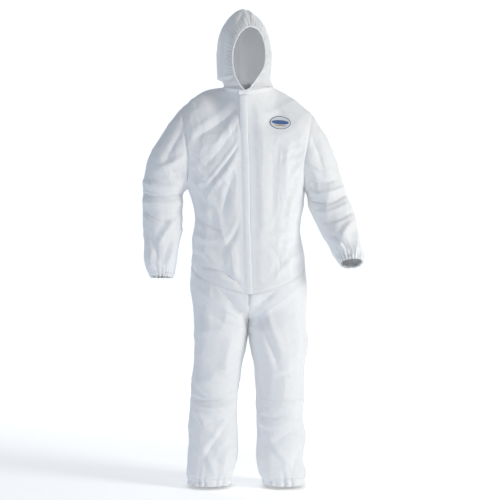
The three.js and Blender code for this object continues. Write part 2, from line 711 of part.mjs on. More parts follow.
/** A block between two corners in the zip's own axes. */
function block(name, low, high, finish, parent) {
  const size = high.map((value, axis) => value - low[axis]);
  const mesh = addPart(name, new THREE.BoxGeometry(...size), finish, parent);
  mesh.position.set(...low.map((value, axis) => value + size[axis] / 2));
  return mesh;
}

/** Half a zip: flat tape with the raised coil along its inner edge. */
function zipHalf(side, length) {
  const inner = side * CLEARANCE * 0.5;
  const coil = side * (CHAIN_WIDTH / 2);
  const outer = side * (CHAIN_WIDTH / 2 + TAPE_WIDTH);
  const back = TAPE_SETBACK + TAPE_THICKNESS;
  const front = CHAIN_FRONT;
  const outline = new THREE.Shape([
    [inner, front], [coil, front], [coil, back - TAPE_THICKNESS],
    [outer, back - TAPE_THICKNESS], [outer, back], [inner, back],
  ].map(([x, y]) => new THREE.Vector2(x, y)));
  return new THREE.ExtrudeGeometry(outline, { depth: length, bevelEnabled: false });
}

/** Rounded plate, flat in the zip's plane, hanging down from its top edge. */
function roundedPlate(width, length, thickness, holeRadius = 0) {
  const [half, corner] = [width / 2, width * 0.35];
  const shape = new THREE.Shape();
  shape.moveTo(-half, -corner);
  shape.lineTo(-half, -length + corner);
  shape.absarc(-half + corner, -length + corner, corner, Math.PI, Math.PI * 1.5, false);
  shape.absarc(half - corner, -length + corner, corner, Math.PI * 1.5, Math.PI * 2, false);
  shape.lineTo(half, -corner);
  shape.absarc(half - corner, -corner, corner, 0, Math.PI / 2, false);
  shape.absarc(-half + corner, -corner, corner, Math.PI / 2, Math.PI, false);
  if (holeRadius > 0) {
    const hole = new THREE.Path();
    hole.absarc(0, -length + half, holeRadius, 0, Math.PI * 2, true);
    shape.holes.push(hole);
  }
  const plate = new THREE.ExtrudeGeometry(shape, {
    depth: thickness, bevelEnabled: false, curveSegments: 4,
  });
  return plate.rotateX(Math.PI / 2);
}

function buildZip() {
  const zip = zipGroup();
  const length = ZIP_TOP.distanceTo(ZIP_BOTTOM);
  for (const { name, side } of ARMS) {
    addPart(`zip_tape_${name}`, zipHalf(side, length), zipTape(), zip);
  }
  const sliderFront = CHAIN_FRONT - CLEARANCE - SLIDER_THICKNESS;
  const stopBack = CHAIN_FRONT - CLEARANCE * 0.6;
  block('zip_top_stop', [-STOP_HALF_WIDTH, sliderFront, length - 4],
    [STOP_HALF_WIDTH, stopBack, length - 1], plasticSlider(), zip);
  block('zip_bottom_stop', [-STOP_HALF_WIDTH, sliderFront, 2],
    [STOP_HALF_WIDTH, stopBack, 7], plasticSlider(), zip);

  const slider = addPart('zip_slider', roundedPlate(SLIDER_WIDTH, SLIDER_LENGTH,
    SLIDER_THICKNESS), plasticSlider(), zip);
  const sliderTop = length - SLIDER_REST;
  slider.position.set(0, sliderFront + SLIDER_THICKNESS, sliderTop);
  const tabFront = sliderFront - CLEARANCE - TAB_THICKNESS;
  const tab = addPart('zip_pull_tab', roundedPlate(TAB_WIDTH, TAB_LENGTH, TAB_THICKNESS,
    TAB_WIDTH * 0.28), plasticSlider(), zip);
  tab.position.set(0, tabFront + TAB_THICKNESS, sliderTop - 3);

  const flapBack = tabFront - CLEARANCE - 0.6;
  block('storm_flap', [-FLAP_HINGE_OFFSET, flapBack - FLAP_THICKNESS, -4],
    [FLAP_WIDTH - FLAP_HINGE_OFFSET, flapBack, length - 2], nonWoven(), zip);
  const tabBottom = length + CHIN_TAB_LIFT;
  block('chin_tab', [-CHIN_TAB_WIDTH / 2, -CHIN_TAB_LIFT - WALL, tabBottom],
    [CHIN_TAB_WIDTH / 2, -CHIN_TAB_LIFT, tabBottom + CHIN_TAB_HEIGHT],
    coatedBinding(), zip);
}

function buildTrims() {
  const front = bodySurface(1, -1, CHAIN_WIDTH / 2 + PANEL_TO_CHAIN);
  const onChest = (u, v) => {
    const across = ((PATCH_X + (u - 0.5) * PATCH_WIDTH) / SHOULDER_TIP_X) * PATCH_SPREAD;
    const height = PATCH_CENTRE_HEIGHT + (v - 0.5) * PATCH_HEIGHT;
    const rise = (height - CHEST_HEIGHT) / (NECK_HEIGHT - CHEST_HEIGHT);
    const share = CHEST_SHARE + rise * (rise > 0 ? 1 - CHEST_SHARE : PATCH_ROW_STEP);
    const point = front(across, share);
    const out = surfaceNormal(front, across, share);
    return point.addScaledVector(out, PATCH_THICKNESS + PATCH_LIFT);
  };
  addPart('chest_patch', panel(onChest, { across: 4, up: 3, wall: PATCH_THICKNESS }), labelFilm());

  const span = WAIST_ELASTIC_SPAN;
  const insideBack = (u, v) => {
    const across = Math.abs(1 - 2 * u) * span;
    const height = WAIST_HEIGHT + (v - 0.5) * ELASTIC_WIDTH;
    const point = trunkRow(across, height, u < 0.5 ? 1 : -1, 1);
    point.y -= (WALL + CLEARANCE) * 1.4;
    return point;
  };
  addPart('back_waist_elastic', panel(insideBack, { across: 14, up: 1, wall: ELASTIC_THICKNESS }),
    elasticThread());

  const label = addPart('size_label',
    new THREE.BoxGeometry(SIZE_LABEL_WIDTH, 0.8, SIZE_LABEL_HEIGHT), labelFilm());
  label.position.set(0, NECK_BACK_DEPTH - 12,
    NECK_HEIGHT + NECK_BACK_RISE - SIZE_LABEL_DROP - SIZE_LABEL_HEIGHT / 2);
}

buildTrunk();
ARMS.forEach(buildSleeve);
ARMS.forEach(buildLeg);
buildHood();
buildZip();
buildTrims();

const part = new THREE.Group();
suit.position.z = -NECK_HEIGHT;
part.add(suit);

export default part;
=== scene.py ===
"""Disposable hooded protective coverall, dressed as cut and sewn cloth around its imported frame.

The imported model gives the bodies, the joints and where the hems are.  Every cloth piece is a
grid of points worked out from the garment's outline, then pushed in and out along its own
normals: by broad folds drawn where cloth hangs or is pulled, by gathers beside elastics and by
a fine crumple.  Lengths are millimetres and heights are measured up from the trouser hems,
the front faces -Y and the wearer's left is +X; world() turns them into the frame's metres.
"""
import json
import logging
import math
from dataclasses import dataclass, field
from enum import Enum
from typing import Callable, Sequence

import bpy
import numpy as np
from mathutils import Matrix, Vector

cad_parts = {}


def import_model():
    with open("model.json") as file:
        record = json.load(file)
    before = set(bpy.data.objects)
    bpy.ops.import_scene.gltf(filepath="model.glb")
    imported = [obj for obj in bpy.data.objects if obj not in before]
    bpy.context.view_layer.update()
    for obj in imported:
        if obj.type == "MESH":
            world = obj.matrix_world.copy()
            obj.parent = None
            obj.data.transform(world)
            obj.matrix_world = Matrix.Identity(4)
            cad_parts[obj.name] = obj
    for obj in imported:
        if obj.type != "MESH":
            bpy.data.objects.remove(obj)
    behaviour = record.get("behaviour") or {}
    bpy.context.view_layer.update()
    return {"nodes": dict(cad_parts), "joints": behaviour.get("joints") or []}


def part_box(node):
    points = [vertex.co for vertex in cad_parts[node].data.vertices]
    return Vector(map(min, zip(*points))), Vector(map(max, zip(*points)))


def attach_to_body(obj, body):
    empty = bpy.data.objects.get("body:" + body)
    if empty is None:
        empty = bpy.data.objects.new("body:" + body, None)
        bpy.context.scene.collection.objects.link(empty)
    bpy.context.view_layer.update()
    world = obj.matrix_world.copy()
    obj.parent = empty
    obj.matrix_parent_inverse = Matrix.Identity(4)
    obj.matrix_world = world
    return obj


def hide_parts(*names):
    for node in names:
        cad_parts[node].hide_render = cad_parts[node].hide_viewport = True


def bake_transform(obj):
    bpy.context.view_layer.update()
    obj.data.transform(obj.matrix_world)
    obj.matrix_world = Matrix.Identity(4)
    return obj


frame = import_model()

MM = 0.001
HEM_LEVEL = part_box("right_ankle_hem")[0][2]  # metres, height of the trouser hems in the frame
CLOTH_THICKNESS = 0.45  # the real cloth is about 0.3 mm; this keeps its edges visible
FOLD_STRENGTH = 1.6  # turns a fold's drawn depth into the depth of its ridge
SEAM_REACH = 9.0  # how far from a seam the cloth is back to its full shape
SEAM_RISE = 2.0  # how far the cloth swells out between its seams

log = logging.getLogger("coverall")


class Side(Enum):
    """Wearer's side: its name in the frame and its sign along X."""

    RIGHT = "right"
    LEFT = "left"

    @property
    def sign(self) -> int:
        """-1 for the wearer's right, which is at -X, and 1 for the left."""
        return -1 if self is Side.RIGHT else 1


class Facing(Enum):
    """Which way a trunk panel looks, as its sign along Y."""

    FRONT = -1
    BACK = 1


# ---------------------------------------------------------------- arithmetic


def world(points: np.ndarray) -> np.ndarray:
    """Turns millimetres above the hems into metres in the row frame.

    Args:
        points: array whose last axis is x, y, height.

    Returns:
        A new array of the same shape.
    """
    placed = np.array(points, float) * MM
    placed[..., 2] += HEM_LEVEL
    return placed


def joint_point(name: str) -> np.ndarray:
    """Gives a joint's pivot in millimetres above the hems.

    Args:
        name: its name.

    Returns:
        Its pivot in millimetres above the hems.
    """
    joint = next(j for j in frame["joints"] if j["name"] == name)
    pivot = np.array(joint["pos_m"], float)
    pivot[2] -= HEM_LEVEL
    return pivot / MM


def smooth(value: np.ndarray, start: float, end: float) -> np.ndarray:
    """Rises from 0 at start to 1 at end along 3t^2 - 2t^3."""
    share = np.clip((value - start) / (end - start), 0.0, 1.0)
    return share * share * (3.0 - 2.0 * share)


def mix(a: np.ndarray, b: np.ndarray, share: np.ndarray) -> np.ndarray:
    """Straight blend from a to b."""
    return a + (b - a) * share


def spline(knots: Sequence[Sequence[float]], at: np.ndarray) -> np.ndarray:
    """Catmull-Rom curve through knots spaced evenly in their parameter.

    Args:
        knots: the values to pass through, each a tuple of any length.
        at: positions from 0 to 1 along the curve.

    Returns:
        One row of values for each position.
    """
    rows = np.array(knots, float)
    last = len(rows) - 1
    place = np.clip(np.asarray(at, float), 0, 1) * last
    cell = np.minimum(place.astype(int), last - 1)
    t = (place - cell)[..., None]
    before, start = rows[np.maximum(cell - 1, 0)], rows[cell]
    end, after = rows[cell + 1], rows[np.minimum(cell + 2, last)]
    return 0.5 * (
        2 * start + (end - before) * t
        + (2 * before - 5 * start + 4 * end - after) * t**2
        + (3 * start - before - 3 * end + after) * t**3
    )


def profile(knots: Sequence[tuple[float, float]], at: np.ndarray) -> np.ndarray:
    """Smooth value between (position, value) knots: cubic Hermite with averaged slopes.

    Args:
        knots: pairs of place and value.
        at: the places asked for.

    Returns:
        The value at each place.
    """
    where, value = np.array(sorted(knots), float).T
    slope = np.gradient(value, where)
    at = np.clip(at, where[0], where[-1])
    cell = np.clip(np.searchsorted(where, at, side="right") - 1, 0, len(where) - 2)
    span = where[cell + 1] - where[cell]
    t = (at - where[cell]) / span
    return (
        value[cell] * (2 * t**3 - 3 * t**2 + 1)
        + slope[cell] * span * (t**3 - 2 * t**2 + t)
        + value[cell + 1] * (3 * t**2 - 2 * t**3)
        + slope[cell + 1] * span * (t**3 - t**2)
    )


class Crumple:
    """A smooth random field in space, the same on every run."""

    CELLS = 24

    def __init__(self, seed: int) -> None:
        """Draws one random value for each corner of a repeating lattice."""
        rng = np.random.default_rng(seed)
        self.lattice = rng.uniform(-1, 1, (self.CELLS,) * 3)

    def at(self, points: np.ndarray, scale: Sequence[float]) -> np.ndarray:
        """Value of the field, smoothly blended between the lattice corners.

        Args:
            points: array of positions in millimetres.
            scale: lattice spacing along x, y and height in millimetres.

        Returns:
            Values from -1 to 1 in the shape of points without its last axis.
        """
        place = np.asarray(points) / np.asarray(scale, float)
        cell = np.floor(place).astype(int)
        t = place - cell
        t = t * t * (3 - 2 * t)
        total = np.zeros(place.shape[:-1])
        for corner in np.ndindex(2, 2, 2):
            index = (cell + corner) % self.CELLS
            weight = np.prod(np.where(np.array(corner) == 1, t, 1 - t), axis=-1)
            total += weight * self.lattice[index[..., 0], index[..., 1], index[..., 2]]
        return total


# ---------------------------------------------------------------- cloth grids


@dataclass(frozen=True)
class Fold:
    """A fold drawn on the garment as seen from the front or the back.

    Attributes:
        path: (x, height) points that the fold's middle passes through.
        width: half width of the fold.
        depth: how far it stands out; negative is a valley.
        lean: from -1 to 1, makes the side to the left or right of the path steeper.
    """

    path: tuple[tuple[float, float], ...]
    width: float
    depth: float
    lean: float = 0.0


@dataclass
class ClothGrid:
    """Rows of points over a piece of cloth, in millimetres.

    Attributes:
        points: array of rows, columns and x, y, height.
        closed: whether each row goes all the way round.
    """

    points: np.ndarray
    closed: bool = False

    def crossed(self) -> np.ndarray:
        """Cross product of the directions along the rows and down the columns."""
        p = self.points
        if self.closed:
            along = np.roll(p, -1, axis=1) - np.roll(p, 1, axis=1)
        else:
            along = np.gradient(p, axis=1)
        return np.cross(along, np.gradient(p, axis=0))

    def joined(self) -> np.ndarray:
        """The points, with the first column once more at the end where the rows are closed."""
        return np.concatenate([self.points, self.points[:, :1]], axis=1) if self.closed else self.points

    def normals(self) -> np.ndarray:
        """Unit normals: the cross product of the row and column directions, facing out."""
        normal = self.crossed()
        normal /= np.maximum(np.linalg.norm(normal, axis=2, keepdims=True), 1e-9)
        return normal * self.outward_sign(normal)

    def outward_sign(self, normal: np.ndarray) -> float:
        """1 where the normals already point away from the middle of their rows, else -1."""
        away = self.points - self.points.mean(axis=1, keepdims=True)
        return 1.0 if (away * normal).sum() > 0 else -1.0

    def pushed(self, amount: np.ndarray) -> "ClothGrid":
        """The grid moved out along its normals by an amount for each point."""
        moved = self.points + self.normals() * np.asarray(amount)[..., None]
        return ClothGrid(moved, self.closed)

    def rows(self, first: int, last: int) -> "ClothGrid":
        """The strip from one row to another, both included."""
        return ClothGrid(self.points[first:last + 1], self.closed)

    def tucked(self, depth: float, count: int) -> "ClothGrid":
        """The grid with its first rows drawn in, to lie under the end of another piece."""
        fade = np.clip(1 - np.arange(len(self.points)) / count, 0, 1)[:, None]
        return self.pushed(-depth * fade + np.zeros(self.points.shape[:2]))

    def row_at(self, height: float) -> int:
        """Index of the row whose mean height is nearest."""
        return int(np.abs(self.points[..., 2].mean(axis=1) - height).argmin())

    def lengths(self) -> tuple[np.ndarray, np.ndarray]:
        """Mean arc length up to each column and up to each row."""
        p = self.joined()
        across = np.linalg.norm(np.diff(p, axis=1), axis=2).mean(axis=0)
        down = np.linalg.norm(np.diff(p, axis=0), axis=2).mean(axis=1)
        return np.insert(np.cumsum(across), 0, 0), np.insert(np.cumsum(down), 0, 0)

    def cells(self) -> tuple[np.ndarray, np.ndarray]:
        """Corner rows and columns of every face, ordered so that the faces point out."""
        rows, cols = self.points.shape[:2]
        r, c = np.mgrid[0:rows - 1, 0:cols if self.closed else cols - 1]
        r, c = r.ravel(), c.ravel()
        corner_rows = np.stack([r, r, r + 1, r + 1], axis=1)
        corner_cols = np.stack([c, c + 1, c + 1, c], axis=1)
        if self.outward_sign(self.crossed()) < 0:
            corner_rows, corner_cols = corner_rows[:, ::-1], corner_cols[:, ::-1]
        return corner_rows, corner_cols

    def mesh(self, name: str) -> bpy.types.Object:
        """Makes the grid a mesh object at the origin with a UV map in metres of cloth.

        Args:
            name: its name.

        Returns:
            The object.
        """
        corner_rows, corner_cols = self.cells()
        cols = self.points.shape[1]
        faces = corner_rows * cols + corner_cols % cols
        across, down = self.lengths()
        uv = np.stack([across[corner_cols], down[corner_rows]], axis=-1) * MM
        return mesh_object(name, world(self.points).reshape(-1, 3), faces, uv.reshape(-1, 2))


def mesh_object(
    name: str, vertices: np.ndarray, faces: np.ndarray, uv: np.ndarray | None = None
) -> bpy.types.Object:
    """Puts vertices and equal-sized faces into a new, smooth-shaded mesh object.

    Args:
        name: the piece's name.
        vertices: positions in metres, one row each.
        faces: vertex indices, one row for each face.
        uv: optional coordinates, one row for each face corner.

    Returns:
        The object, linked to the scene.
    """
    data = bpy.data.meshes.new(name)
    count, corners = faces.shape
    data.vertices.add(len(vertices))
    data.vertices.foreach_set("co", np.ascontiguousarray(vertices, np.float32).ravel())
    data.loops.add(count * corners)
    data.loops.foreach_set("vertex_index", np.ascontiguousarray(faces, np.int32).ravel())
    data.polygons.add(count)
    data.polygons.foreach_set("loop_start", np.arange(0, count * corners, corners, dtype=np.int32))
    data.polygons.foreach_set("use_smooth", np.ones(count, bool))
    data.update(calc_edges=True)
    if uv is not None:
        layer = data.uv_layers.new(name="cloth")
        layer.data.foreach_set("uv", np.ascontiguousarray(uv, np.float32).ravel())
    data.validate()
    piece = bpy.data.objects.new(name, data)
    bpy.context.scene.collection.objects.link(piece)
    return piece


def ring_faces(rows: int, cols: int) -> np.ndarray:
    """Quads that join closed rings of points, one ring to the next.

    Args:
        rows: number of rings.
        cols: points in each ring.

    Returns:
        Vertex indices, one row for each face.
    """
    r, c = np.mgrid[0:rows - 1, 0:cols]
    r, c = r.ravel(), c.ravel()
    return np.stack([r * cols + c, r * cols + (c + 1) % cols,
                     (r + 1) * cols + (c + 1) % cols, (r + 1) * cols + c], axis=1)


def lid_faces(cols: int) -> np.ndarray:
    """Quads that close a ring of points, straight across from one half to the other."""
    half = np.arange(cols // 2 - 1)
    return np.stack([half, half + 1, cols - 2 - half, cols - 1 - half], axis=1)


def box_above_hems(node: str) -> tuple[np.ndarray, np.ndarray]:
    """Lowest and highest corner of a CAD node's box, in millimetres above the hems."""
    low, high = (np.array(corner) / MM - (0, 0, HEM_LEVEL / MM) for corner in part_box(node))
    return low, high


def face_front(piece: bpy.types.Object) -> None:
    """Turns a nearly flat piece over if most of it looks backwards.

    Args:
        piece: the object.
    """
    normal = np.empty(len(piece.data.polygons) * 3, np.float32)
    piece.data.polygons.foreach_get("normal", normal)
    if normal.reshape(-1, 3)[:, 1].mean() > 0:
        piece.data.flip_normals()


def fold_relief(grid: ClothGrid, folds: Sequence[Fold], facing: Facing) -> np.ndarray:
    """Push of every fold at every point of a grid.

    Each fold is a crisp ridge, exp(-(d/w)^1.2) for a distance d from its path, with a
    shallow trough on both sides, and it dies away at its ends and where the cloth turns
    away from the side it is drawn on.

    Args:
        grid: the cloth.
        folds: folds drawn on that side of the garment.
        facing: the side on which they are drawn.

    Returns:
        Millimetres for each point.
    """
    plan = grid.points[..., [0, 2]].reshape(-1, 2)
    turned = smooth(grid.normals()[..., 1].ravel() * facing.value, -0.4, 0.2)
    total = np.zeros(len(plan))
    for fold in folds:
        line = spline(fold.path, np.linspace(0, 1, 64))
        reach = 3.2 * fold.width
        inside = (plan > line.min(axis=0) - reach) & (plan < line.max(axis=0) + reach)
        near = np.flatnonzero(inside.all(axis=1) & (turned > 0))
        if not near.size:
            continue
        offset = plan[near, None] - line[None]
        gap = (offset**2).sum(axis=2)
        closest = gap.argmin(axis=1)
        distance = np.sqrt(gap[np.arange(near.size), closest])
        heading = np.gradient(line, axis=0)[closest]
        away = offset[np.arange(near.size), closest]
        side = np.sign(heading[:, 0] * away[:, 1] - heading[:, 1] * away[:, 0])
        width = fold.width * (1 + 0.6 * fold.lean * side)
        shape = np.exp(-((distance / width) ** 1.2))
        shape -= 0.3 * np.exp(-(((distance - 2.0 * width) / width) ** 2))
        ends = np.sin(math.pi * np.clip(closest / 63, 0.01, 0.99)) ** 0.7
        total[near] += FOLD_STRENGTH * fold.depth * shape * ends * turned[near]
    return total.reshape(grid.points.shape[:2])


def gathers(along: np.ndarray, count: float, seed: int) -> np.ndarray:
    """Uneven pleats from -1 to 1: a cosine whose phase and height wander.

    Args:
        along: share of the way round, from 0 to 1.
        count: about how many pleats there are.
        seed: picks how they wander.

    Returns:
        The pleats' height at each place.
    """
    rng = np.random.default_rng(seed)
    phase, height = np.zeros_like(along), np.ones_like(along)
    for harmonic in range(1, 8):
        shift, size = rng.uniform(0, 2 * math.pi, 2), rng.uniform(0.3, 1.0, 2)
        turn = 2 * math.pi * harmonic * along
        phase = phase + size[0] * np.sin(turn + shift[0]) * 1.1
        height = height + 0.28 * size[1] * np.sin(turn * 1.7 + shift[1])
    wave = np.cos(2 * math.pi * round(count) * along + phase)
    return height * (wave - 0.35 * wave**2 + 0.15)


# ---------------------------------------------------------------- finishes


def linear(colour: str) -> tuple[float, float, float, float]:
    """Turns an sRGB hex colour into linear red, green, blue and full alpha."""
    parts = [int(colour[i:i + 2], 16) / 255 for i in (1, 3, 5)]
    rgb = [p / 12.92 if p <= 0.04045 else ((p + 0.055) / 1.055) ** 2.4 for p in parts]
    return (*rgb, 1.0)


def add_node(
    tree: bpy.types.NodeTree, kind: str, settings: dict | None = None, **inputs: object
) -> bpy.types.Node:
    """Adds a shader node, sets its options and sockets and links what feeds it.

    Args:
        tree: the material's node tree.
        kind: the node's type name.
        settings: its options by attribute name.
        inputs: a value or an output socket for each input, by name with spaces as _.

    Returns:
        The new node.
    """
    node = tree.nodes.new(kind)
    for key, value in (settings or {}).items():
        setattr(node, key, value)
    for key, value in inputs.items():
        socket = node.inputs[int(key[1:])] if key[1:].isdigit() else node.inputs[key.replace("_", " ")]
        if isinstance(value, bpy.types.NodeSocket):
            tree.links.new(value, socket)
        else:
            socket.default_value = value
    return node


def new_material(name: str) -> tuple[bpy.types.Material, bpy.types.NodeTree, bpy.types.Node]:
    """A fresh node material with only its Principled shader and output.

    Args:
        name: its name.

    Returns:
        The material, its nodes and its shader.
    """
    material = bpy.data.materials.new(name)
    material.use_nodes = True
    tree = material.node_tree
    tree.nodes.clear()
    shader = add_node(tree, "ShaderNodeBsdfPrincipled")
    add_node(tree, "ShaderNodeOutputMaterial", Surface=shader.outputs[0])
    return material, tree, shader


@dataclass(frozen=True)
class SpunbondPolypropylene:
    """White spunbond non-woven: random fine fibres welded together at small points.

    The eye sees a matt, faintly silky white with a grid of tiny pressed dimples and
    cloudy patches where the fibres lie thicker, and it glows a little with the light that
    comes through.  The dimples are about 1 mm apart on the real cloth and are drawn 2.4 mm
    apart so that they show.
    """

    name: str = "spunbond_polypropylene"
    colour: str = "#ecedef"
    cloud: str = "#e3e5e8"
    roughness: float = 0.72
    bond_pitch: float = 2.4
    emboss: float = 0.28
    glow: float = 0.13

    def material(self) -> bpy.types.Material:
        """Builds the material; patterns follow the cloth's own UV map in metres."""
        material, tree, shader = new_material(self.name)
        cloth = add_node(tree, "ShaderNodeTexCoord").outputs["UV"]
        turned = add_node(tree, "ShaderNodeMapping", Vector=cloth, Rotation=(0, 0, math.radians(45)))
        dots = add_node(
            tree, "ShaderNodeTexVoronoi", {"feature": "F1", "voronoi_dimensions": "2D"},
            Vector=turned.outputs[0], Scale=1 / (self.bond_pitch * MM), Randomness=0.12,
        )
        dimple = add_node(
            tree, "ShaderNodeMapRange", {"interpolation_type": "SMOOTHSTEP"},
            Value=dots.outputs["Distance"], From_Min=0.12, From_Max=0.42,
        )
        fibres = add_node(
            tree, "ShaderNodeTexNoise", {"noise_dimensions": "2D"},
            Vector=cloth, Scale=900.0, Detail=3.0, Roughness=0.7, Distortion=1.5,
        )
        clouds = add_node(
            tree, "ShaderNodeTexNoise", {"noise_dimensions": "2D"},
            Vector=cloth, Scale=55.0, Detail=4.0, Roughness=0.6,
        )
        height = add_node(
            tree, "ShaderNodeMath", {"operation": "MULTIPLY_ADD"},
            _0=fibres.outputs[0], _1=0.45, _2=dimple.outputs[0],
        )
        bump = add_node(
            tree, "ShaderNodeBump", Height=height.outputs[0], Strength=self.emboss, Distance=0.00018,
        )
        tint = add_node(
            tree, "ShaderNodeMix", {"data_type": "RGBA"},
            Factor=clouds.outputs[0], _6=linear(self.colour), _7=linear(self.cloud),
        )
        tree.links.new(tint.outputs[2], shader.inputs["Base Color"])
        tree.links.new(bump.outputs[0], shader.inputs["Normal"])
        shader.inputs["Roughness"].default_value = self.roughness
        shader.inputs["IOR"].default_value = 1.49
        shader.inputs["Subsurface Weight"].default_value = self.glow
        shader.inputs["Subsurface Radius"].default_value = (1.0, 1.0, 1.0)
        shader.inputs["Subsurface Scale"].default_value = 0.004
        shader.inputs["Sheen Weight"].default_value = 0.12
        shader.inputs["Sheen Roughness"].default_value = 0.6
        return material


@dataclass(frozen=True)
class WovenRibbon:
    """Narrow woven polyester: zip tape, elastic or label, with a fine crosswise rib."""

    name: str
    colour: str
    rib_pitch: float
    roughness: float = 0.8

    def material(self) -> bpy.types.Material:
        """Builds the material; the rib runs across on Object coordinates."""
        material, tree, shader = new_material(self.name)
        place = add_node(tree, "ShaderNodeTexCoord").outputs["Object"]
        rib = add_node(
            tree, "ShaderNodeTexWave", {"wave_type": "BANDS", "bands_direction": "Z"},
            Vector=place, Scale=0.314 / (self.rib_pitch * MM), Distortion=0.4,
        )
        bump = add_node(tree, "ShaderNodeBump", Height=rib.outputs[1], Strength=0.4, Distance=0.0002)
        tree.links.new(bump.outputs[0], shader.inputs["Normal"])
        shader.inputs["Base Color"].default_value = linear(self.colour)
        shader.inputs["Roughness"].default_value = self.roughness
        return material


@dataclass(frozen=True)
class MouldedPlastic:
    """Moulded or lacquered plastic: smooth, with a faint unevenness in its gloss."""

    name: str
    colour: str
    roughness: float = 0.32

    def material(self) -> bpy.types.Material:
        """Builds the material with a slightly mottled roughness."""
        material, tree, shader = new_material(self.name)
        place = add_node(tree, "ShaderNodeTexCoord").outputs["Object"]
        mottle = add_node(tree, "ShaderNodeTexNoise", Vector=place, Scale=400.0, Detail=2.0)
        gloss = add_node(
            tree, "ShaderNodeMapRange", Value=mottle.outputs[0],
            To_Min=self.roughness - 0.06, To_Max=self.roughness + 0.06,
        )
        tree.links.new(gloss.outputs[0], shader.inputs["Roughness"])
        shader.inputs["Base Color"].default_value = linear(self.colour)
        return material


class Wardrobe:
    """Every finish of the garment, made once."""

    def __init__(self) -> None:
        """Builds the materials."""
        self.cloth = SpunbondPolypropylene().material()
        self.hood_cloth = SpunbondPolypropylene("spunbond_hood_cloth", glow=0.5).material()
        self.binding = SpunbondPolypropylene("spunbond_binding", "#f1f2f3", "#eaebed", 0.66).material()
        self.tape = WovenRibbon("woven_zip_tape", "#e9eaec", 0.9).material()
        self.elastic = WovenRibbon("covered_elastic", "#f0f0ee", 1.2).material()
        self.ribbon = WovenRibbon("woven_size_label", "#eeeeea", 0.5).material()
        self.nylon = MouldedPlastic("moulded_nylon_coil", "#eff0f1", 0.38).material()
        self.lacquer = MouldedPlastic("lacquered_zinc_slider", "#e4e6e8", 0.28).material()


# ---------------------------------------------------------------- sewing


@dataclass(frozen=True)
class Bend:
    """Where a piece turns from one body to the next: two points above the hems."""

    upper: str
    lower: str
    start: tuple[float, float, float]
    end: tuple[float, float, float]


def give_wall(piece: bpy.types.Object, thickness: float) -> None:
    """Gives a sheet its thickness on the inside.

    Args:
        piece: the object.
        thickness: of the wall, in millimetres.
    """
    wall = piece.modifiers.new("wall", "SOLIDIFY")
    wall.thickness = thickness * MM
    wall.offset = -1.0
    wall.use_even_offset = False


def attach(piece: bpy.types.Object, hold: Bend | str) -> None:
    """Makes a piece ride on a body; a piece given a bend only has its transform baked into its mesh.

    Args:
        piece: the object.
        hold: the body it rides on, or a bend, which only has the piece's transform baked in.
    """
    if isinstance(hold, Bend):
        tuple(world(hold.start))
        tuple(world(hold.end))
        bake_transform(piece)
    else:
        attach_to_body(piece, hold)


def sew(
    name: str,
    grid: ClothGrid,
    material: bpy.types.Material,
    hold: Bend | str,
    stands_for: Sequence[str] = (),
    thickness: float = CLOTH_THICKNESS,
) -> bpy.types.Object:
    """Makes a grid a finished sheet of cloth.

    Args:
        name: the piece's name.
        grid: its points.
        material: its finish.
        hold: the body it rides on, or a bend, which only has the piece's transform baked in.
        stands_for: CAD nodes that it replaces.
        thickness: of the cloth.

    Returns:
        The object.
    """
    piece = grid.mesh(name)
    piece.data.materials.append(material)
    give_wall(piece, thickness)
    attach(piece, hold)
    if stands_for:
        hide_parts(*stands_for)
    return piece


def finish_solid(
    piece: bpy.types.Object, material: bpy.types.Material, body: str,
    stands_for: Sequence[str] = (),
) -> bpy.types.Object:
    """Dresses a solid piece and makes it ride on a body.

    Args:
        piece: the object.
        material: its finish.
        body: the body it rides on.
        stands_for: CAD nodes that it replaces.

    Returns:
        The piece.
    """
    if not piece.data.materials:
        piece.data.materials.append(material)
    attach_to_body(piece, body)
    if stands_for:
        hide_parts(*stands_for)
    log.info("%s: %d faces", piece.name, len(piece.data.polygons))
    return piece


def crumpled(grid: ClothGrid, seed: int, height: float = 1.0) -> ClothGrid:
    """Adds the fine unevenness of limp cloth: soft swells, and thin crinkles on top.

    Args:
        grid: the cloth.
        seed: picks the pattern.
        height: scales it.

    Returns:
        The crumpled cloth.
    """
    p = grid.points
    warp = np.stack([Crumple(seed + turn).at(p, (80, 90, 100)) for turn in (3, 4, 5)], axis=-1) * 34
    swell = Crumple(seed).at(p, (85, 120, 150))
    crease = 1 - np.abs(Crumple(seed + 1).at(p + warp, (64, 90, 88))) * 2.4
    crinkle = 1 - np.abs(Crumple(seed + 6).at(p + warp, (27, 38, 41))) * 2.4
    tiny = Crumple(seed + 2).at(p + warp, (12, 16, 17))
    return grid.pushed(height * (2.6 * swell + 2.3 * crease + 0.9 * crinkle + 0.3 * tiny))


def held_in_seams(
    plain: ClothGrid, shaped: ClothGrid, edges: str, flush: str = ""
) -> ClothGrid:
    """Keeps sewn edges where the pattern puts them, so that neighbouring pieces meet.

    Args:
        plain: the smooth cloth.
        shaped: the same cloth with folds.
        edges: any of b, t, l and r for the first and last row and the first and last column.
        flush: those of the edges beside which the cloth doesn't swell.

    Returns:
        Cloth that leaves each seam over SEAM_REACH.
    """
    across, down = plain.lengths()
    across = across[:plain.points.shape[1]]
    gaps = {"b": down[:, None], "t": down[-1] - down[:, None],
            "l": across[None], "r": across[-1] - across[None]}
    hold = np.ones(plain.points.shape[:2])
    swell = np.ones_like(hold)
    for edge in edges:
        hold = hold * smooth(gaps[edge] + 0 * hold, 0.0, SEAM_REACH)
        if edge in flush:
            swell = swell * smooth(gaps[edge] + 0 * hold, 0.0, 12 * SEAM_REACH)
    raised = shaped.pushed(SEAM_RISE * hold * swell)
    return ClothGrid(mix(plain.points, raised.points, hold[..., None]), plain.closed)


# ---------------------------------------------------------------- trunk


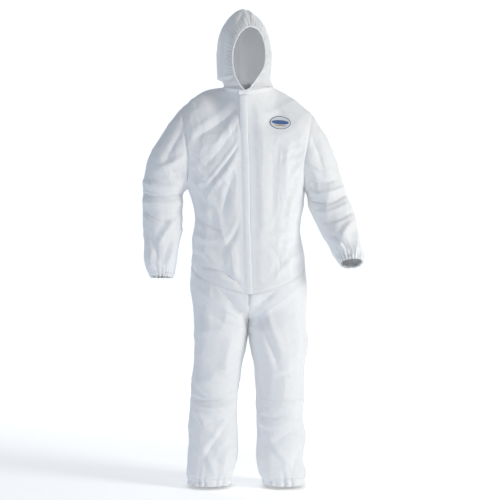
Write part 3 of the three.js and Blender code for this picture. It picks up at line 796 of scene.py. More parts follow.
@dataclass
class Trunk:
    """Fronts and back of the body, from the V seam up to the neck and shoulders."""

    zip_top: tuple[float, float, float] = (-11.0, -104.0, 1436.0)
    zip_bottom: tuple[float, float, float] = (8.0, -130.0, 722.0)
    zip_gap: float = 4.5
    neck_height: float = 1470.0
    neck_half_width: float = 92.0
    neck_front_drop: float = 15.0
    neck_back_rise: float = 18.0
    neck_back_depth: float = 84.0
    armpit_height: float = 1098.0
    chest_height: float = 1290.0
    armhole_half_depth: float = 78.0
    centre_seam_height: float = 712.0
    side_seam_height: float = 819.0
    crotch_height: float = 575.0
    squareness: float = 2.3
    waist_height: float = 925.0
    patch_middle: tuple[float, float] = (116.0, 1324.0)
    patch_reach: tuple[float, float] = (42.0, 28.0)
    columns: int = 96
    row_count: int = 235
    chest_share: float = 0.74
    bows: dict = field(default_factory=lambda: {Side.RIGHT: 20, Side.LEFT: 9})
    tips: dict = field(default_factory=lambda: {Side.RIGHT: (243, 1396), Side.LEFT: (237, 1370)})
    edges: dict = field(default_factory=lambda: {
        Side.RIGHT: [(575, 200), (655, 206), (721, 211), (819, 208), (860, 203), (900, 204),
                     (942, 199), (986, 195), (1030, 199), (1075, 211), (1098, 220),
                     (1163, 220), (1217, 219), (1290, 228), (1396, 243)],
        Side.LEFT: [(575, 212), (655, 217), (721, 217), (780, 211), (819, 209), (860, 204),
                    (898, 195), (942, 191), (986, 195), (1030, 201), (1075, 206), (1098, 207),
                    (1174, 205), (1273, 219), (1370, 237)],
    })

    def centre_front(self, height: np.ndarray) -> tuple[np.ndarray, np.ndarray]:
        """x and y of the straight centre-front line at a height."""
        top, bottom = self.zip_top, self.zip_bottom
        share = (height - bottom[2]) / (top[2] - bottom[2])
        return mix(bottom[0], top[0], share), mix(bottom[1], top[1], share)

    def depth(self, height: np.ndarray, facing: Facing) -> np.ndarray:
        """Depth of the centre front or centre back at a height.

        Args:
            height: height of each point.
            facing: front or back.

        Returns:
            Millimetres from the middle.
        """
        if facing is Facing.FRONT:
            low = smooth(height, self.crotch_height, self.centre_seam_height)
            return mix(112.0, -self.centre_front(height)[1], low)
        return profile([(575, 112), (712, 131), (925, 114), (1150, 124), (1290, 128)], height)

    def edge_x(self, height: np.ndarray, side: Side) -> np.ndarray:
        """Half width at a height: side seam, then armhole seam."""
        return profile(self.edges[side], height)

    def edge_depth(self, height: np.ndarray, side: Side) -> np.ndarray:
        """Half depth of the edge: nothing on the side seam, an oval on the armhole.

        Args:
            height: height of each point.
            side: wearer's side.

        Returns:
            Millimetres from the middle.
        """
        tip = self.tips[side][1]
        middle, reach = (self.armpit_height + tip) / 2, (tip - self.armpit_height) / 2
        share = np.clip((height - middle) / reach, -1, 1)
        return self.armhole_half_depth * np.sqrt(1 - share**2)

    def level(
        self, across: np.ndarray, height: np.ndarray, side: Side, facing: Facing, gap: float
    ) -> np.ndarray:
        """Point on a level row: a superellipse arc from the centre seam to the edge.

        Args:
            across: 0 at the centre seam and 1 at the side or armhole seam.
            height: height of each point.
            side: wearer's side.
            facing: front or back.
            gap: distance of the centre edge from the centre line.

        Returns:
            The points.
        """
        depth = self.depth(height, facing)
        ratio = np.clip(self.edge_depth(height, side) / depth, 0, 0.999)
        last = np.arccos(ratio ** (self.squareness / 2))
        angle = across * last
        reach = (np.sin(angle) / np.sin(last)) ** (2 / self.squareness)
        centre = self.centre_front(height)[0] if facing is Facing.FRONT else 0.0
        x = mix(centre + side.sign * gap, side.sign * self.edge_x(height, side), reach)
        y = facing.value * depth * np.cos(angle) ** (2 / self.squareness)
        return np.stack([x, y, np.broadcast_to(height, x.shape)], axis=-1)

    def top_edge(self, across: np.ndarray, side: Side, facing: Facing, gap: float) -> np.ndarray:
        """Half the neckline, a quarter oval, and then the bowed shoulder line.

        Args:
            across: 0 at the centre seam and 1 at the outer one.
            side: wearer's side.
            facing: front or back.
            gap: distance of the centre edge from the centre line.

        Returns:
            The points.
        """
        neck_share = 0.4
        angle = np.clip(across / neck_share, 0, 1) * math.pi / 2
        front = facing is Facing.FRONT
        depth = -self.zip_top[1] if front else self.neck_back_depth
        rise = -self.neck_front_drop if front else self.neck_back_rise
        centre = self.centre_front(self.neck_height)[0] if front else 0.0
        neck = np.stack([
            mix(centre + side.sign * gap, side.sign * self.neck_half_width, np.sin(angle)),
            facing.value * depth * np.cos(angle),
            self.neck_height + rise * np.cos(angle) ** 2,
        ], axis=-1)
        share = np.clip((across - neck_share) / (1 - neck_share), 0, 1)
        tip_x, tip_height = self.tips[side]
        bow = self.bows[side] * np.sin(share * math.pi) ** 1.2
        slope = mix(self.neck_height, tip_height, share) + bow
        x = side.sign * mix(self.neck_half_width, tip_x, share)
        shoulder = np.stack([x, np.zeros_like(x), slope], axis=-1)
        return np.where((across < neck_share)[..., None], neck, shoulder)

    def yoke(
        self, across: np.ndarray, rise: np.ndarray, side: Side, facing: Facing, gap: float
    ) -> np.ndarray:
        """Upper body: cubic curves that climb from the chest row and close over the shoulder.

        Args:
            across: 0 at the centre seam and 1 at the outer one.
            rise: 0 at the chest row and 1 at the top.
            side: wearer's side.
            facing: front or back.
            gap: distance of the centre edge from the centre line.

        Returns:
            The points.
        """
        chest = np.full_like(across, self.chest_height)
        start = self.level(across, chest, side, facing, gap)
        end = self.top_edge(across, side, facing, gap)
        chord = end - start
        over = smooth(across, 0.3, 0.8)[..., None]
        zero = np.zeros_like(chord[..., 0])
        up = mix(chord, np.stack([zero, zero, chord[..., 2] * 1.3], axis=-1), over)
        flat = np.stack([zero, -facing.value * np.abs(chord[..., 1]) * 1.6, zero], axis=-1)
        arrive = mix(chord, flat, over)
        t = rise[..., None]
        return (start * (2 * t**3 - 3 * t**2 + 1) + up * (t**3 - 2 * t**2 + t)
                + end * (3 * t**2 - 2 * t**3) + arrive * (t**3 - t**2))

    def seam_height(self, across: np.ndarray) -> np.ndarray:
        """Height of the V seam between body and legs, lowest at the centre."""
        return mix(self.centre_seam_height, self.side_seam_height, across**1.15)

    def panel(self, side: Side, facing: Facing, gap: float) -> ClothGrid:
        """A whole panel as rows from the V seam up to the neck and shoulder.

        Args:
            side: wearer's side.
            facing: front or back.
            gap: distance of the centre edge from the centre line.

        Returns:
            The cloth.
        """
        v, u = np.meshgrid(np.linspace(0, 1, self.row_count), np.linspace(0, 1, self.columns),
                           indexing="ij")
        low = np.clip(v / self.chest_share, 0, 1)
        body = self.level(u, mix(self.seam_height(u), self.chest_height, low), side, facing, gap)
        rise = np.clip((v - self.chest_share) / (1 - self.chest_share), 0, 1)
        yoke = self.yoke(u, rise, side, facing, gap)
        points = np.where((v > self.chest_share)[..., None], yoke, body)
        points = self.eased(points, rise)
        edge = points[:, -1].copy()
        over = edge[:, 2] > self.chest_height
        edge[over, 0] = side.sign * self.edge_x(edge[over, 2], side)
        edge[over, 1] = facing.value * self.edge_depth(edge[over, 2], side)
        points += (edge - points[:, -1])[:, None] * (u**6)[..., None]
        return ClothGrid(points)

    def eased(self, points: np.ndarray, rise: np.ndarray) -> np.ndarray:
        """Averages the yoke's points along their rows so that the neck's corner dies out below.

        Args:
            points: rows of points.
            rise: 0 at the chest row and 1 at the top.

        Returns:
            The points.
        """
        amount = (smooth(rise, 0.0, 0.25) * smooth(rise, 1.0, 0.9) * 0.5)[:, 1:-1, None]
        for _ in range(260):
            middle = (points[:, :-2] + points[:, 2:]) / 2
            points[:, 1:-1] = mix(points[:, 1:-1], middle, amount)
        return points

    def armhole(self, turn: np.ndarray, side: Side) -> np.ndarray:
        """The armhole seam; turn 0 is the shoulder tip and a quarter turn is the front.

        Args:
            turn: share of a full turn.
            side: wearer's side.

        Returns:
            The points.
        """
        tip = self.tips[side][1]
        middle, reach = (self.armpit_height + tip) / 2, (tip - self.armpit_height) / 2
        height = middle + reach * np.cos(turn * 2 * math.pi)
        x = side.sign * self.edge_x(height, side)
        return np.stack([x, -self.armhole_half_depth * np.sin(turn * 2 * math.pi), height], axis=-1)

    def build(self, wardrobe: Wardrobe, folds: "FoldBook") -> None:
        """Makes both fronts and the back.

        Args:
            wardrobe: the finishes.
            folds: where the broad folds lie.
        """
        for side in Side:
            grid = self.panel(side, Facing.FRONT, self.zip_gap)
            depth = folds.depth(side)
            shaped = grid.pushed(depth * fold_relief(grid, folds.front(side), Facing.FRONT))
            shaped = held_in_seams(grid, crumpled(shaped, 11 + side.sign, depth), "btr", "t")
            shaped = self.flat_at_zip(grid, shaped)
            if side is Side.LEFT:
                shaped = self.flat_under_patch(grid, shaped)
            sew(f"{side.value}_front_cloth", shaped, wardrobe.cloth, "torso",
                [f"{side.value}_front_panel"])
        halves = [self.panel(side, Facing.BACK, 0.0).points for side in Side]
        whole = ClothGrid(np.concatenate([halves[0][:, ::-1], halves[1][:, 1:]], axis=1))
        relief = fold_relief(whole, folds.back(), Facing.BACK) + self.waist_gathers(whole)
        shaped = held_in_seams(whole, crumpled(whole.pushed(relief), 21), "btlr", "t")
        sew("back_cloth", shaped, wardrobe.cloth, "torso", ["back_panel"])

    def flat_at_zip(self, plain: ClothGrid, shaped: ClothGrid) -> ClothGrid:
        """Keeps the strip beside the zip flat, because it is sewn to the straight tape."""
        u = np.linspace(0, 1, self.columns)[None, :, None]
        return ClothGrid(mix(plain.points, shaped.points, smooth(u, 0.03, 0.12)))

    def flat_under_patch(self, plain: ClothGrid, shaped: ClothGrid) -> ClothGrid:
        """Smooths the cloth where the stiff chest patch is bonded to it.

        Args:
            plain: the smooth cloth.
            shaped: the same cloth with folds.

        Returns:
            The cloth.
        """
        x, height = plain.points[..., 0], plain.points[..., 2]
        gap = np.sqrt(((x - self.patch_middle[0]) / self.patch_reach[0]) ** 2
                      + ((height - self.patch_middle[1]) / self.patch_reach[1]) ** 2)
        smoothed = plain.pushed(np.full(gap.shape, SEAM_RISE))
        return ClothGrid(mix(smoothed.points, shaped.points, smooth(gap, 0.95, 1.7)[..., None]))

    def waist_gathers(self, grid: ClothGrid) -> np.ndarray:
        """Upright pleats either side of the elastic that is sewn inside the back waist.

        Args:
            grid: the cloth.

        Returns:
            Push out for each point.
        """
        x, above = grid.points[..., 0], grid.points[..., 2] - self.waist_height
        near = np.exp(-(above / 42) ** 2) * smooth(150 - np.abs(x), 0, 30)
        pleats = gathers((x + 210) / 420, 26, 5)
        drawn_in = -7 * np.exp(-(above / 26) ** 2) * smooth(170 - np.abs(x), 0, 60)
        return 3.0 * near * pleats + drawn_in


# ---------------------------------------------------------------- legs


@dataclass
class Leg:
    """One trouser leg, from the V seam round the crotch and down to the gathered hem."""

    side: Side
    trunk: Trunk
    knee_split: float = 326.0
    hem_band: float = 27.0
    groin_bend: float = 100.0
    knee_bend_above: float = 22.0
    knee_bend_below: float = 104.0
    columns: int = 176
    top_rows: int = 70
    leg_rows: int = 165
    outer: dict = field(default_factory=lambda: {
        Side.RIGHT: [(0, 222), (37, 227), (81, 224), (169, 221), (258, 217), (324, 213),
                     (390, 206), (456, 199), (522, 198), (575, 200)],
        Side.LEFT: [(0, 213), (37, 213), (81, 202), (169, 210), (258, 199), (324, 206),
                    (390, 206), (456, 210), (522, 222), (575, 214)],
    })
    inner: dict = field(default_factory=lambda: {
        Side.RIGHT: [(0, 60), (37, 55), (81, 45), (169, 43), (258, 43), (324, 40),
                     (390, 33), (456, 22), (522, 6), (575, 0.6)],
        Side.LEFT: [(0, 55), (37, 44), (81, 34), (169, 36), (258, 32), (324, 29),
                    (390, 28), (456, 21), (522, 7), (575, 0.6)],
    })
    depths: tuple = ((0, 84), (37, 85), (150, 84), (300, 88), (430, 96), (512, 103), (575, 112))

    def loop(self, u: np.ndarray, height: np.ndarray) -> np.ndarray:
        """Closed section of the leg: an oval from the inseam over the front and the outside.

        Args:
            u: share of the way round.
            height: height of each point.

        Returns:
            The points.
        """
        outer, inner = (profile(k[self.side], height) for k in (self.outer, self.inner))
        angle = math.pi * (1 - 2 * u)
        power = 2 / 2.15
        cos, sin = np.cos(angle), np.sin(angle)
        centre, half = (outer + inner) / 2, (outer - inner) / 2
        x = self.side.sign * (centre + half * np.sign(cos) * np.abs(cos) ** power)
        y = -profile(self.depths, height) * np.sign(sin) * np.abs(sin) ** power
        return np.stack([x, y, np.broadcast_to(height, x.shape)], axis=-1)

    def hip_row(self, u: np.ndarray, height: np.ndarray) -> np.ndarray:
        """Half the trunk's section, from the centre front round the side to the centre back."""
        front = self.trunk.level(np.clip(2 * u, 0, 1), height, self.side, Facing.FRONT, 0.6)
        back = self.trunk.level(np.clip(2 - 2 * u, 0, 1), height, self.side, Facing.BACK, 0.6)
        return np.where((u < 0.5)[..., None], front, back)

    def grid(self) -> ClothGrid:
        """Rows from the V seam down; above the crotch they change from half trunk to closed leg."""
        u = np.linspace(0, 1, self.columns)
        v, across = np.meshgrid(np.linspace(0, 1, self.top_rows), u, indexing="ij")
        from_centre = 1 - np.abs(1 - 2 * across)
        seam = self.trunk.seam_height(from_centre)
        height = mix(seam, self.trunk.crotch_height, v)
        share = (smooth(v, 0.1, 1.0) ** 1.4)[..., None]
        top = mix(self.hip_row(across, height), self.loop(across, height), share)
        top[..., 2] = height
        top[:, [0, -1], 0] = self.side.sign * 0.6
        down, across = np.meshgrid(np.linspace(self.trunk.crotch_height, 0, self.leg_rows + 1)[1:], u,
                                   indexing="ij")
        return ClothGrid(np.concatenate([top, self.loop(across, down)]))

    def hem_gathers(self, grid: ClothGrid) -> np.ndarray:
        """Pleats above the elastic of the hem; they die out up the shin.

        Args:
            grid: the cloth.

        Returns:
            Push out for each point.
        """
        height = grid.points[..., 2]
        turn = np.broadcast_to(np.linspace(0, 1, self.columns), height.shape)
        pleats = gathers(turn, 17, 40 + self.side.sign)
        rise = np.exp(-np.maximum(height - 8, 0) / 30)
        draw = -5.5 * np.exp(-((height - 16) / 12) ** 2)
        return 3.4 * pleats * rise + draw

    def bends(self) -> tuple[Bend, Bend]:
        """The groin crease, slanting up to the hip, and the knee."""
        name, sign = self.side.value, self.side.sign
        slant = np.array([0.6 * sign, 0, -0.8])
        crotch = np.array([0, 0, self.trunk.crotch_height + 2])
        knee = joint_point(f"{name}_knee_bend")
        hip = Bend("torso", f"{name}_thigh", tuple(crotch), tuple(crotch + slant * self.groin_bend))
        lower = Bend(f"{name}_thigh", f"{name}_shin", tuple(knee + (0, 0, self.knee_bend_above)),
                     tuple(knee - (0, 0, self.knee_bend_below)))
        return hip, lower

    def build(self, wardrobe: Wardrobe, folds: "FoldBook") -> None:
        """Makes the leg's upper and lower cloth, its hem and its elastic.

        Args:
            wardrobe: the finishes.
            folds: where the broad folds lie.
        """
        plain = self.grid()
        depth = folds.depth(self.side)
        relief = (depth * fold_relief(plain, folds.leg(self.side), Facing.FRONT)
                  + fold_relief(plain, folds.leg_back(self.side), Facing.BACK)
                  + self.hem_gathers(plain))
        shaped = crumpled(plain.pushed(relief), 31 + self.side.sign, depth)
        shaped = held_in_seams(plain, shaped, "b")
        crotch = self.top_rows - 1
        fixed = np.zeros(shaped.points.shape[:2])
        fixed[:crotch + 1, :] = np.exp(-np.minimum(np.arange(self.columns),
                                                   np.arange(self.columns)[::-1]) / 1.5)[None]
        shaped.points[..., 0] = mix(shaped.points[..., 0], plain.points[..., 0], fixed)
        seam = (shaped.points[crotch + 1:, 0] + shaped.points[crotch + 1:, -1]) / 2
        for end in (0, -1):
            shaped.points[crotch + 1:, end] = seam
        knee = shaped.row_at(self.knee_split)
        hem = shaped.row_at(self.hem_band)
        last = len(shaped.points) - 1
        name = self.side.value
        hip_bend, knee_bend = self.bends()
        sew(f"{name}_leg_upper_cloth", shaped.rows(0, knee + 2), wardrobe.cloth, hip_bend,
            [f"{name}_hip_panel", f"{name}_hip_fold", f"{name}_thigh_leg"])
        lower = shaped.rows(knee - 1, hem).tucked(0.7, 5)
        sew(f"{name}_leg_lower_cloth", lower, wardrobe.cloth, knee_bend,
            [f"{name}_knee_fold", f"{name}_shin_leg"])
        sew(f"{name}_ankle_hem_band", shaped.rows(hem, last), wardrobe.cloth,
            f"{name}_shin", [f"{name}_ankle_hem"], 1.1)
        band = shaped.rows(hem + 2, last - 2).pushed(-2.2)
        sew(f"{name}_ankle_elastic_band", band, wardrobe.elastic, f"{name}_shin",
            [f"{name}_ankle_elastic"], 0.8)


# ---------------------------------------------------------------- sleeves


@dataclass
class Sleeve:
    """One sleeve, from the armhole seam to the gathered cuff.

    Each rung gives the outer edge's x and height, the inner edge's x and height, the y of
    the middle, the half depth and the forward tip in degrees.
    """

    side: Side
    trunk: Trunk
    columns: int = 128
    row_count: int = 215
    hem_width: float = 16.0
    split_rung: float = 4.8
    armpit_bend: float = 46.0
    elbow_bend: float = 98.0
    rungs: dict = field(default_factory=lambda: {
        Side.RIGHT: [
            (243, 1396, 222, 1098, 0, 78, 0), (300, 1325, 230, 1091, 0, 80, 0),
            (346, 1251, 237, 1083, 0, 79, 0), (368, 1198, 241, 1074, 0, 76, 0),
            (380, 1143, 243, 1062, 0, 73, 0), (389, 1092, 243, 1044, -2, 70, 2),
            (389, 1040, 245, 1018, -5, 68, 4), (387, 985, 246, 978, -10, 66, 6),
            (385, 930, 245, 928, -17, 64, 8), (383, 870, 255, 872, -25, 60, 8),
            (379, 815, 263, 817, -32, 54, 8), (369, 789, 269, 789, -36, 46, 8),
            (359, 769, 277, 768, -39, 38, 8)],
        Side.LEFT: [
            (237, 1370, 207, 1098, 0, 78, 0), (283, 1296, 212, 1091, 0, 80, 0),
            (305, 1250, 216, 1084, 0, 79, 0), (323, 1203, 220, 1076, 0, 76, 0),
            (342, 1150, 223, 1064, -3, 73, 2), (352, 1106, 226, 1045, -9, 71, 6),
            (366, 1062, 232, 1014, -22, 69, 14), (380, 1020, 246, 982, -42, 66, 22),
            (391, 978, 265, 946, -66, 62, 28), (397, 934, 285, 908, -91, 58, 30),
            (409, 890, 303, 871, -115, 53, 30), (418, 856, 320, 842, -133, 47, 30),
            (414, 828, 333, 818, -147, 38, 30)],
    })

    def grid(self) -> ClothGrid:
        """Ovals hung between the outer and inner edges; the first is the armhole seam."""
        t = np.linspace(0, 1, self.row_count)
        rung = spline(self.rungs[self.side], t)
        turn = np.arange(self.columns) / self.columns
        cos, sin = np.cos(turn * 2 * math.pi), np.sin(turn * 2 * math.pi)
        sign = self.side.sign
        outer = np.stack([sign * rung[:, 0], rung[:, 4], rung[:, 1]], axis=-1)
        inner = np.stack([sign * rung[:, 2], rung[:, 4], rung[:, 3]], axis=-1)
        tip = np.radians(rung[:, 6])
        forward = np.stack([0 * tip, -np.cos(tip), np.sin(tip)], axis=-1) * rung[:, 5:6]
        ring = ((outer + inner) / 2)[:, None] + ((outer - inner) / 2)[:, None] * cos[None, :, None]
        ring = ring + forward[:, None] * sin[None, :, None]
        seam = self.trunk.armhole(turn, self.side)[None]
        return ClothGrid(mix(seam, ring, smooth(t, 0.0, 0.16)[:, None, None]), closed=True)

    def cuff_gathers(self, grid: ClothGrid) -> np.ndarray:
        """Pleats drawn up by the elastic of the cuff.

        Args:
            grid: the cloth.

        Returns:
            Push out for each point.
        """
        rows = len(grid.points)
        down = np.linspace(0, 1, rows)[:, None]
        turn = np.broadcast_to(np.arange(self.columns) / self.columns, grid.points.shape[:2])
        pleats = gathers(turn, 22, 60 + self.side.sign)
        fade = np.exp(-np.maximum(0.965 - down, 0) / 0.055)
        draw = -3.0 * np.exp(-((down - 0.975) / 0.02) ** 2)
        return 3.4 * pleats * fade + draw

    def bends(self, ring: np.ndarray) -> tuple[Bend, Bend]:
        """The bend below the armhole, and the one that starts at a ring above the elbow.

        Args:
            ring: the ring of points where the lower cloth begins.

        Returns:
            The upper and the lower bend.
        """
        name, sign = self.side.value, self.side.sign
        armpit = np.array([sign * (self.rungs[self.side][0][2] + 1), 0, self.trunk.armpit_height])
        slant = np.array([0.7 * sign, 0, -0.714])
        shoulder = Bend("torso", f"{name}_upper_arm", tuple(armpit),
                        tuple(armpit + slant * self.armpit_bend))
        middle = ring.mean(axis=0)
        quarter = self.columns // 4
        along = np.cross(ring[0] - middle, ring[quarter] - middle)
        along *= -np.sign(along[2]) / np.linalg.norm(along)
        lower = Bend(f"{name}_upper_arm", f"{name}_forearm",
                     tuple(middle), tuple(middle + along * self.elbow_bend))
        return shoulder, lower

    def build(self, wardrobe: Wardrobe, folds: "FoldBook") -> None:
        """Makes the sleeve's upper and lower cloth, its cuff and its elastic.

        Args:
            wardrobe: the finishes.
            folds: where the broad folds lie.
        """
        plain = self.grid()
        relief = (fold_relief(plain, folds.sleeve(self.side), Facing.FRONT)
                  + fold_relief(plain, folds.sleeve_back(self.side), Facing.BACK)
                  + self.cuff_gathers(plain))
        shaped = held_in_seams(plain, crumpled(plain.pushed(relief), 51 + self.side.sign), "b")
        name = self.side.value
        rungs = len(self.rungs[self.side]) - 1
        split = round(self.split_rung / rungs * (self.row_count - 1))
        shoulder, elbow = self.bends(plain.points[split])
        last = self.row_count - 1
        down = shaped.lengths()[1]
        cuff = int(np.searchsorted(down, down[-1] - self.hem_width))
        sew(f"{name}_sleeve_upper_cloth", shaped.rows(0, split + 2), wardrobe.cloth,
            shoulder, [f"{name}_sleeve_cap", f"{name}_upper_sleeve"])
        lower = shaped.rows(split - 1, cuff).tucked(0.7, 6)
        sew(f"{name}_sleeve_lower_cloth", lower, wardrobe.cloth, elbow,
            [f"{name}_elbow_fold", f"{name}_forearm_sleeve"])
        sew(f"{name}_cuff_hem_band", shaped.rows(cuff, last), wardrobe.cloth,
            f"{name}_forearm", [f"{name}_cuff_hem"], 1.1)
        band = shaped.rows(cuff + 1, last - 1).pushed(-2.0)
        sew(f"{name}_cuff_elastic_band", band, wardrobe.elastic, f"{name}_forearm",
            [f"{name}_cuff_elastic"], 0.8)


# ---------------------------------------------------------------- hood


@dataclass
class Hood:
    """Two curved panels from the neck seam over the head, open round the face."""

    trunk: Trunk
    centre: tuple[float, float, float] = (-16.0, 4.0, 1580.0)
    half_width: float = 97.0
    front_depth: float = 120.0
    back_depth: float = 138.0
    height_up: float = 171.0
    height_down: float = 380.0
    turn: float = math.radians(10)
    bottom_height: float = 1503.0
    columns: int = 150
    body_rows: int = 170
    neck_rows: int = 22
    rims: dict = field(default_factory=lambda: {
        Side.RIGHT: [(-49, 1503), (-55, 1530), (-58, 1562), (-56, 1597), (-47, 1628),
                     (-34, 1655), (-15, 1678), (10, 1686)],
        Side.LEFT: [(41, 1503), (57, 1530), (65, 1562), (66, 1596), (61, 1627),
                    (52, 1655), (34, 1678), (10, 1686)],
    })
    chins: dict = field(default_factory=lambda: {
        Side.RIGHT: [(-11, 1450), (-24, 1459), (-37, 1480), (-49, 1503)],
        Side.LEFT: [(-11, 1450), (8, 1459), (24, 1479), (41, 1503)],
    })

    def surface(self, n: np.ndarray) -> np.ndarray:
        """Point of the egg-shaped head cover in a unit direction.

        The direction is stretched by a different length along each axis, ahead and
        behind, above and below, turned about the vertical and moved to the centre.

        Args:
            n: unit directions.

        Returns:
            The points.
        """
        up, down = self.height_up, self.height_down
        x = self.half_width * n[..., 0]
        y = np.where(n[..., 1] < 0, self.front_depth, self.back_depth) * n[..., 1]
        crown = 5.0 * np.exp(-(np.arccos(np.clip(n[..., 2], -1, 1)) / 0.3) ** 2)
        z = np.where(n[..., 2] > 0, up, down) * n[..., 2] + crown
        cos, sin = math.cos(self.turn), math.sin(self.turn)
        turned = np.stack([x * cos - y * sin, x * sin + y * cos, z], axis=-1)
        return turned + np.array(self.centre)

    def direction(self, x: np.ndarray, height: np.ndarray) -> np.ndarray:
        """Unit direction of the front surface's point at a place seen from the front.

        Args:
            x: place across, seen from the front.
            height: height of each point.

        Returns:
            Unit directions.
        """
        rise = height - self.centre[2]
        nz = np.where(rise > 0, rise / self.height_up, rise / self.height_down)
        nx, ny = np.zeros_like(nz), -np.sqrt(1 - nz**2)
        cos, sin = math.cos(self.turn), math.sin(self.turn)
        for _ in range(12):
            ahead = self.front_depth * ny
            nx = np.clip((x - self.centre[0] + ahead * sin) / cos / self.half_width, -0.97, 0.97)
            ny = -np.sqrt(np.maximum(1 - nz**2 - nx**2, 0.01))
        n = np.stack([nx, ny, nz], axis=-1)
        return n / np.linalg.norm(n, axis=-1, keepdims=True)

    def body(self, side: Side) -> np.ndarray:
        """Directions over one half of the hood, filled in from its four edges.

        The edges are the face rim, the level bottom, the back seam and the crown seam;
        a Coons patch blends them and the result is made unit length again.

        Args:
            side: wearer's side.

        Returns:
            Unit directions.
        """
        v, u = np.linspace(0, 1, self.body_rows), np.linspace(0, 1, self.columns)
        u = u**1.35
        rim_plan = spline(self.rims[side], v)
        rim = self.direction(rim_plan[:, 0], rim_plan[:, 1])
        low = (self.bottom_height - self.centre[2]) / self.height_down
        around = math.sqrt(1 - low**2)
        first = math.atan2(side.sign * rim[0, 0], -rim[0, 1])
        angle = mix(first, math.pi, u)
        bottom = np.stack([side.sign * around * np.sin(angle), -around * np.cos(angle),
                           np.full_like(u, low)], axis=-1)
        top_start = math.atan2(rim[-1, 2], -rim[-1, 1])
        top_end = math.radians(150)
        over = mix(top_start, top_end, u)
        crown = np.stack([0 * over, -np.cos(over), np.sin(over)], axis=-1)
        crown += rim[-1] * (1 - u[:, None]) * np.array([1, 0, 0])
        back_angle = mix(math.pi - math.asin(low), top_end, v)
        back = np.stack([0 * back_angle, -np.cos(back_angle), np.sin(back_angle)], axis=-1)
        uu, vv = u[None, :, None], v[:, None, None]
        patch = ((1 - uu) * rim[:, None] + uu * back[:, None]
                 + (1 - vv) * bottom[None] + vv * crown[None]
                 - (1 - uu) * (1 - vv) * rim[0] - uu * (1 - vv) * back[0]
                 - (1 - uu) * vv * crown[0] - uu * vv * back[-1])
        return patch / np.linalg.norm(patch, axis=-1, keepdims=True)

    def neck_seam(self, side: Side) -> np.ndarray:
        """The neckline of the body from the centre front to the centre back.

        Args:
            side: wearer's side.

        Returns:
            The points.
        """
        share = np.linspace(0, 1, self.columns) ** 1.15
        half = self.trunk.top_edge(np.clip(share * 2, 0, 1) * 0.4, side, Facing.FRONT, 0.5)
        back = self.trunk.top_edge(np.clip(2 - share * 2, 0, 1) * 0.4, side, Facing.BACK, 0.5)
        return np.where((share < 0.5)[:, None], half, back)

    def chin_rim(self, side: Side) -> np.ndarray:
        """The rim below the body rows: it runs in to the top of the zip.

        Args:
            side: wearer's side.

        Returns:
            The points.
        """
        at = spline(self.chins[side], np.linspace(0, 1, self.neck_rows))
        y = self.surface(self.direction(at[:, 0], at[:, 1]))[:, 1]
        front = mix(-self.trunk.depth(np.array([1440.0]), Facing.FRONT)[0] - 1.5, y[-1],
                    smooth(np.linspace(0, 1, self.neck_rows), 0, 1))
        return np.stack([at[:, 0], front, at[:, 1]], axis=-1)

    def grid(self, side: Side) -> ClothGrid:
        """Rows from the neck seam up to the crown seam.

        Args:
            side: wearer's side.

        Returns:
            The cloth.
        """
        body = self.surface(self.body(side))
        s = np.linspace(0, 1, self.neck_rows)[:, None, None]
        seam, low = self.neck_seam(side)[None], body[:1]
        tuck = 11.0 if side is Side.RIGHT else 2.0
        neck = mix(seam, low, smooth(s, 0.0, 1.0))
        middle = neck.mean(axis=1, keepdims=True)
        away = (neck - middle) * (1, 1, 0)
        away /= np.maximum(np.linalg.norm(away, axis=-1, keepdims=True), 1e-6)
        neck = neck - away * tuck * np.sin(math.pi * np.clip(s, 0, 1)) ** 2
        rim = self.chin_rim(side)
        fade = np.exp(-np.linspace(0, 1, self.columns) / 0.10)[None, :, None]
        neck = neck + (rim[:, None] - neck[:, :1]) * fade
        return ClothGrid(np.concatenate([neck[:-1], body]))

    def rim_gathers(self, grid: ClothGrid, side: Side) -> np.ndarray:
        """Short pleats that run out from the elastic round the face.

        Args:
            grid: the cloth.
            side: wearer's side.

        Returns:
            Push out for each point.
        """
        down, _ = grid.lengths()
        out = down[None, :]
        rows = len(grid.points)
        along = np.broadcast_to(np.linspace(0, 1, rows)[:, None], grid.points.shape[:2])
        slant = along + 0.0006 * out
        pleats = gathers(slant, 24, 70 + side.sign)
        fade = np.exp(-out / 22) * smooth(out, -1, 5)
        drawn = -3.5 * np.exp(-out / 10)
        return 2.9 * pleats * fade + drawn

    def bend(self) -> Bend:
        """The neck, where the hood tilts on the body."""
        front = np.array([0, -104.0, self.trunk.neck_height - self.trunk.neck_front_drop])
        normal = np.array([0, -0.168, 0.985])
        return Bend("torso", "hood", tuple(front + normal * 4), tuple(front + normal * 52))

    def build(self, wardrobe: Wardrobe, folds: "FoldBook") -> None:
        """Makes the two halves, the rolled face hem and the elastic inside it.

        Args:
            wardrobe: the finishes.
            folds: where the broad folds lie.
        """
        rims = {}
        for side in Side:
            plain = self.grid(side)
            relief = (fold_relief(plain, folds.hood(side), Facing.FRONT)
                      + self.rim_gathers(plain, side))
            inside = smooth(np.linspace(0, 1, self.columns), 1.0, 0.93)[None]
            shaped = plain.pushed(relief * inside)
            crumple = crumpled(shaped, 81 + side.sign, 0.7)
            shaped = ClothGrid(mix(shaped.points, crumple.points, inside[..., None]))
            shaped = held_in_seams(plain, shaped, "btr", "b")
            hold = self.bend()
            stands_for = [f"hood_{side.value}_panel"]
            if side is Side.RIGHT:
                stands_for.append("neck_fold")
            sew(f"hood_{side.value}_cloth", shaped, wardrobe.hood_cloth, hold,
                stands_for)
            rims[side] = shaped.points[:, 0]
        self.hem(rims, wardrobe)

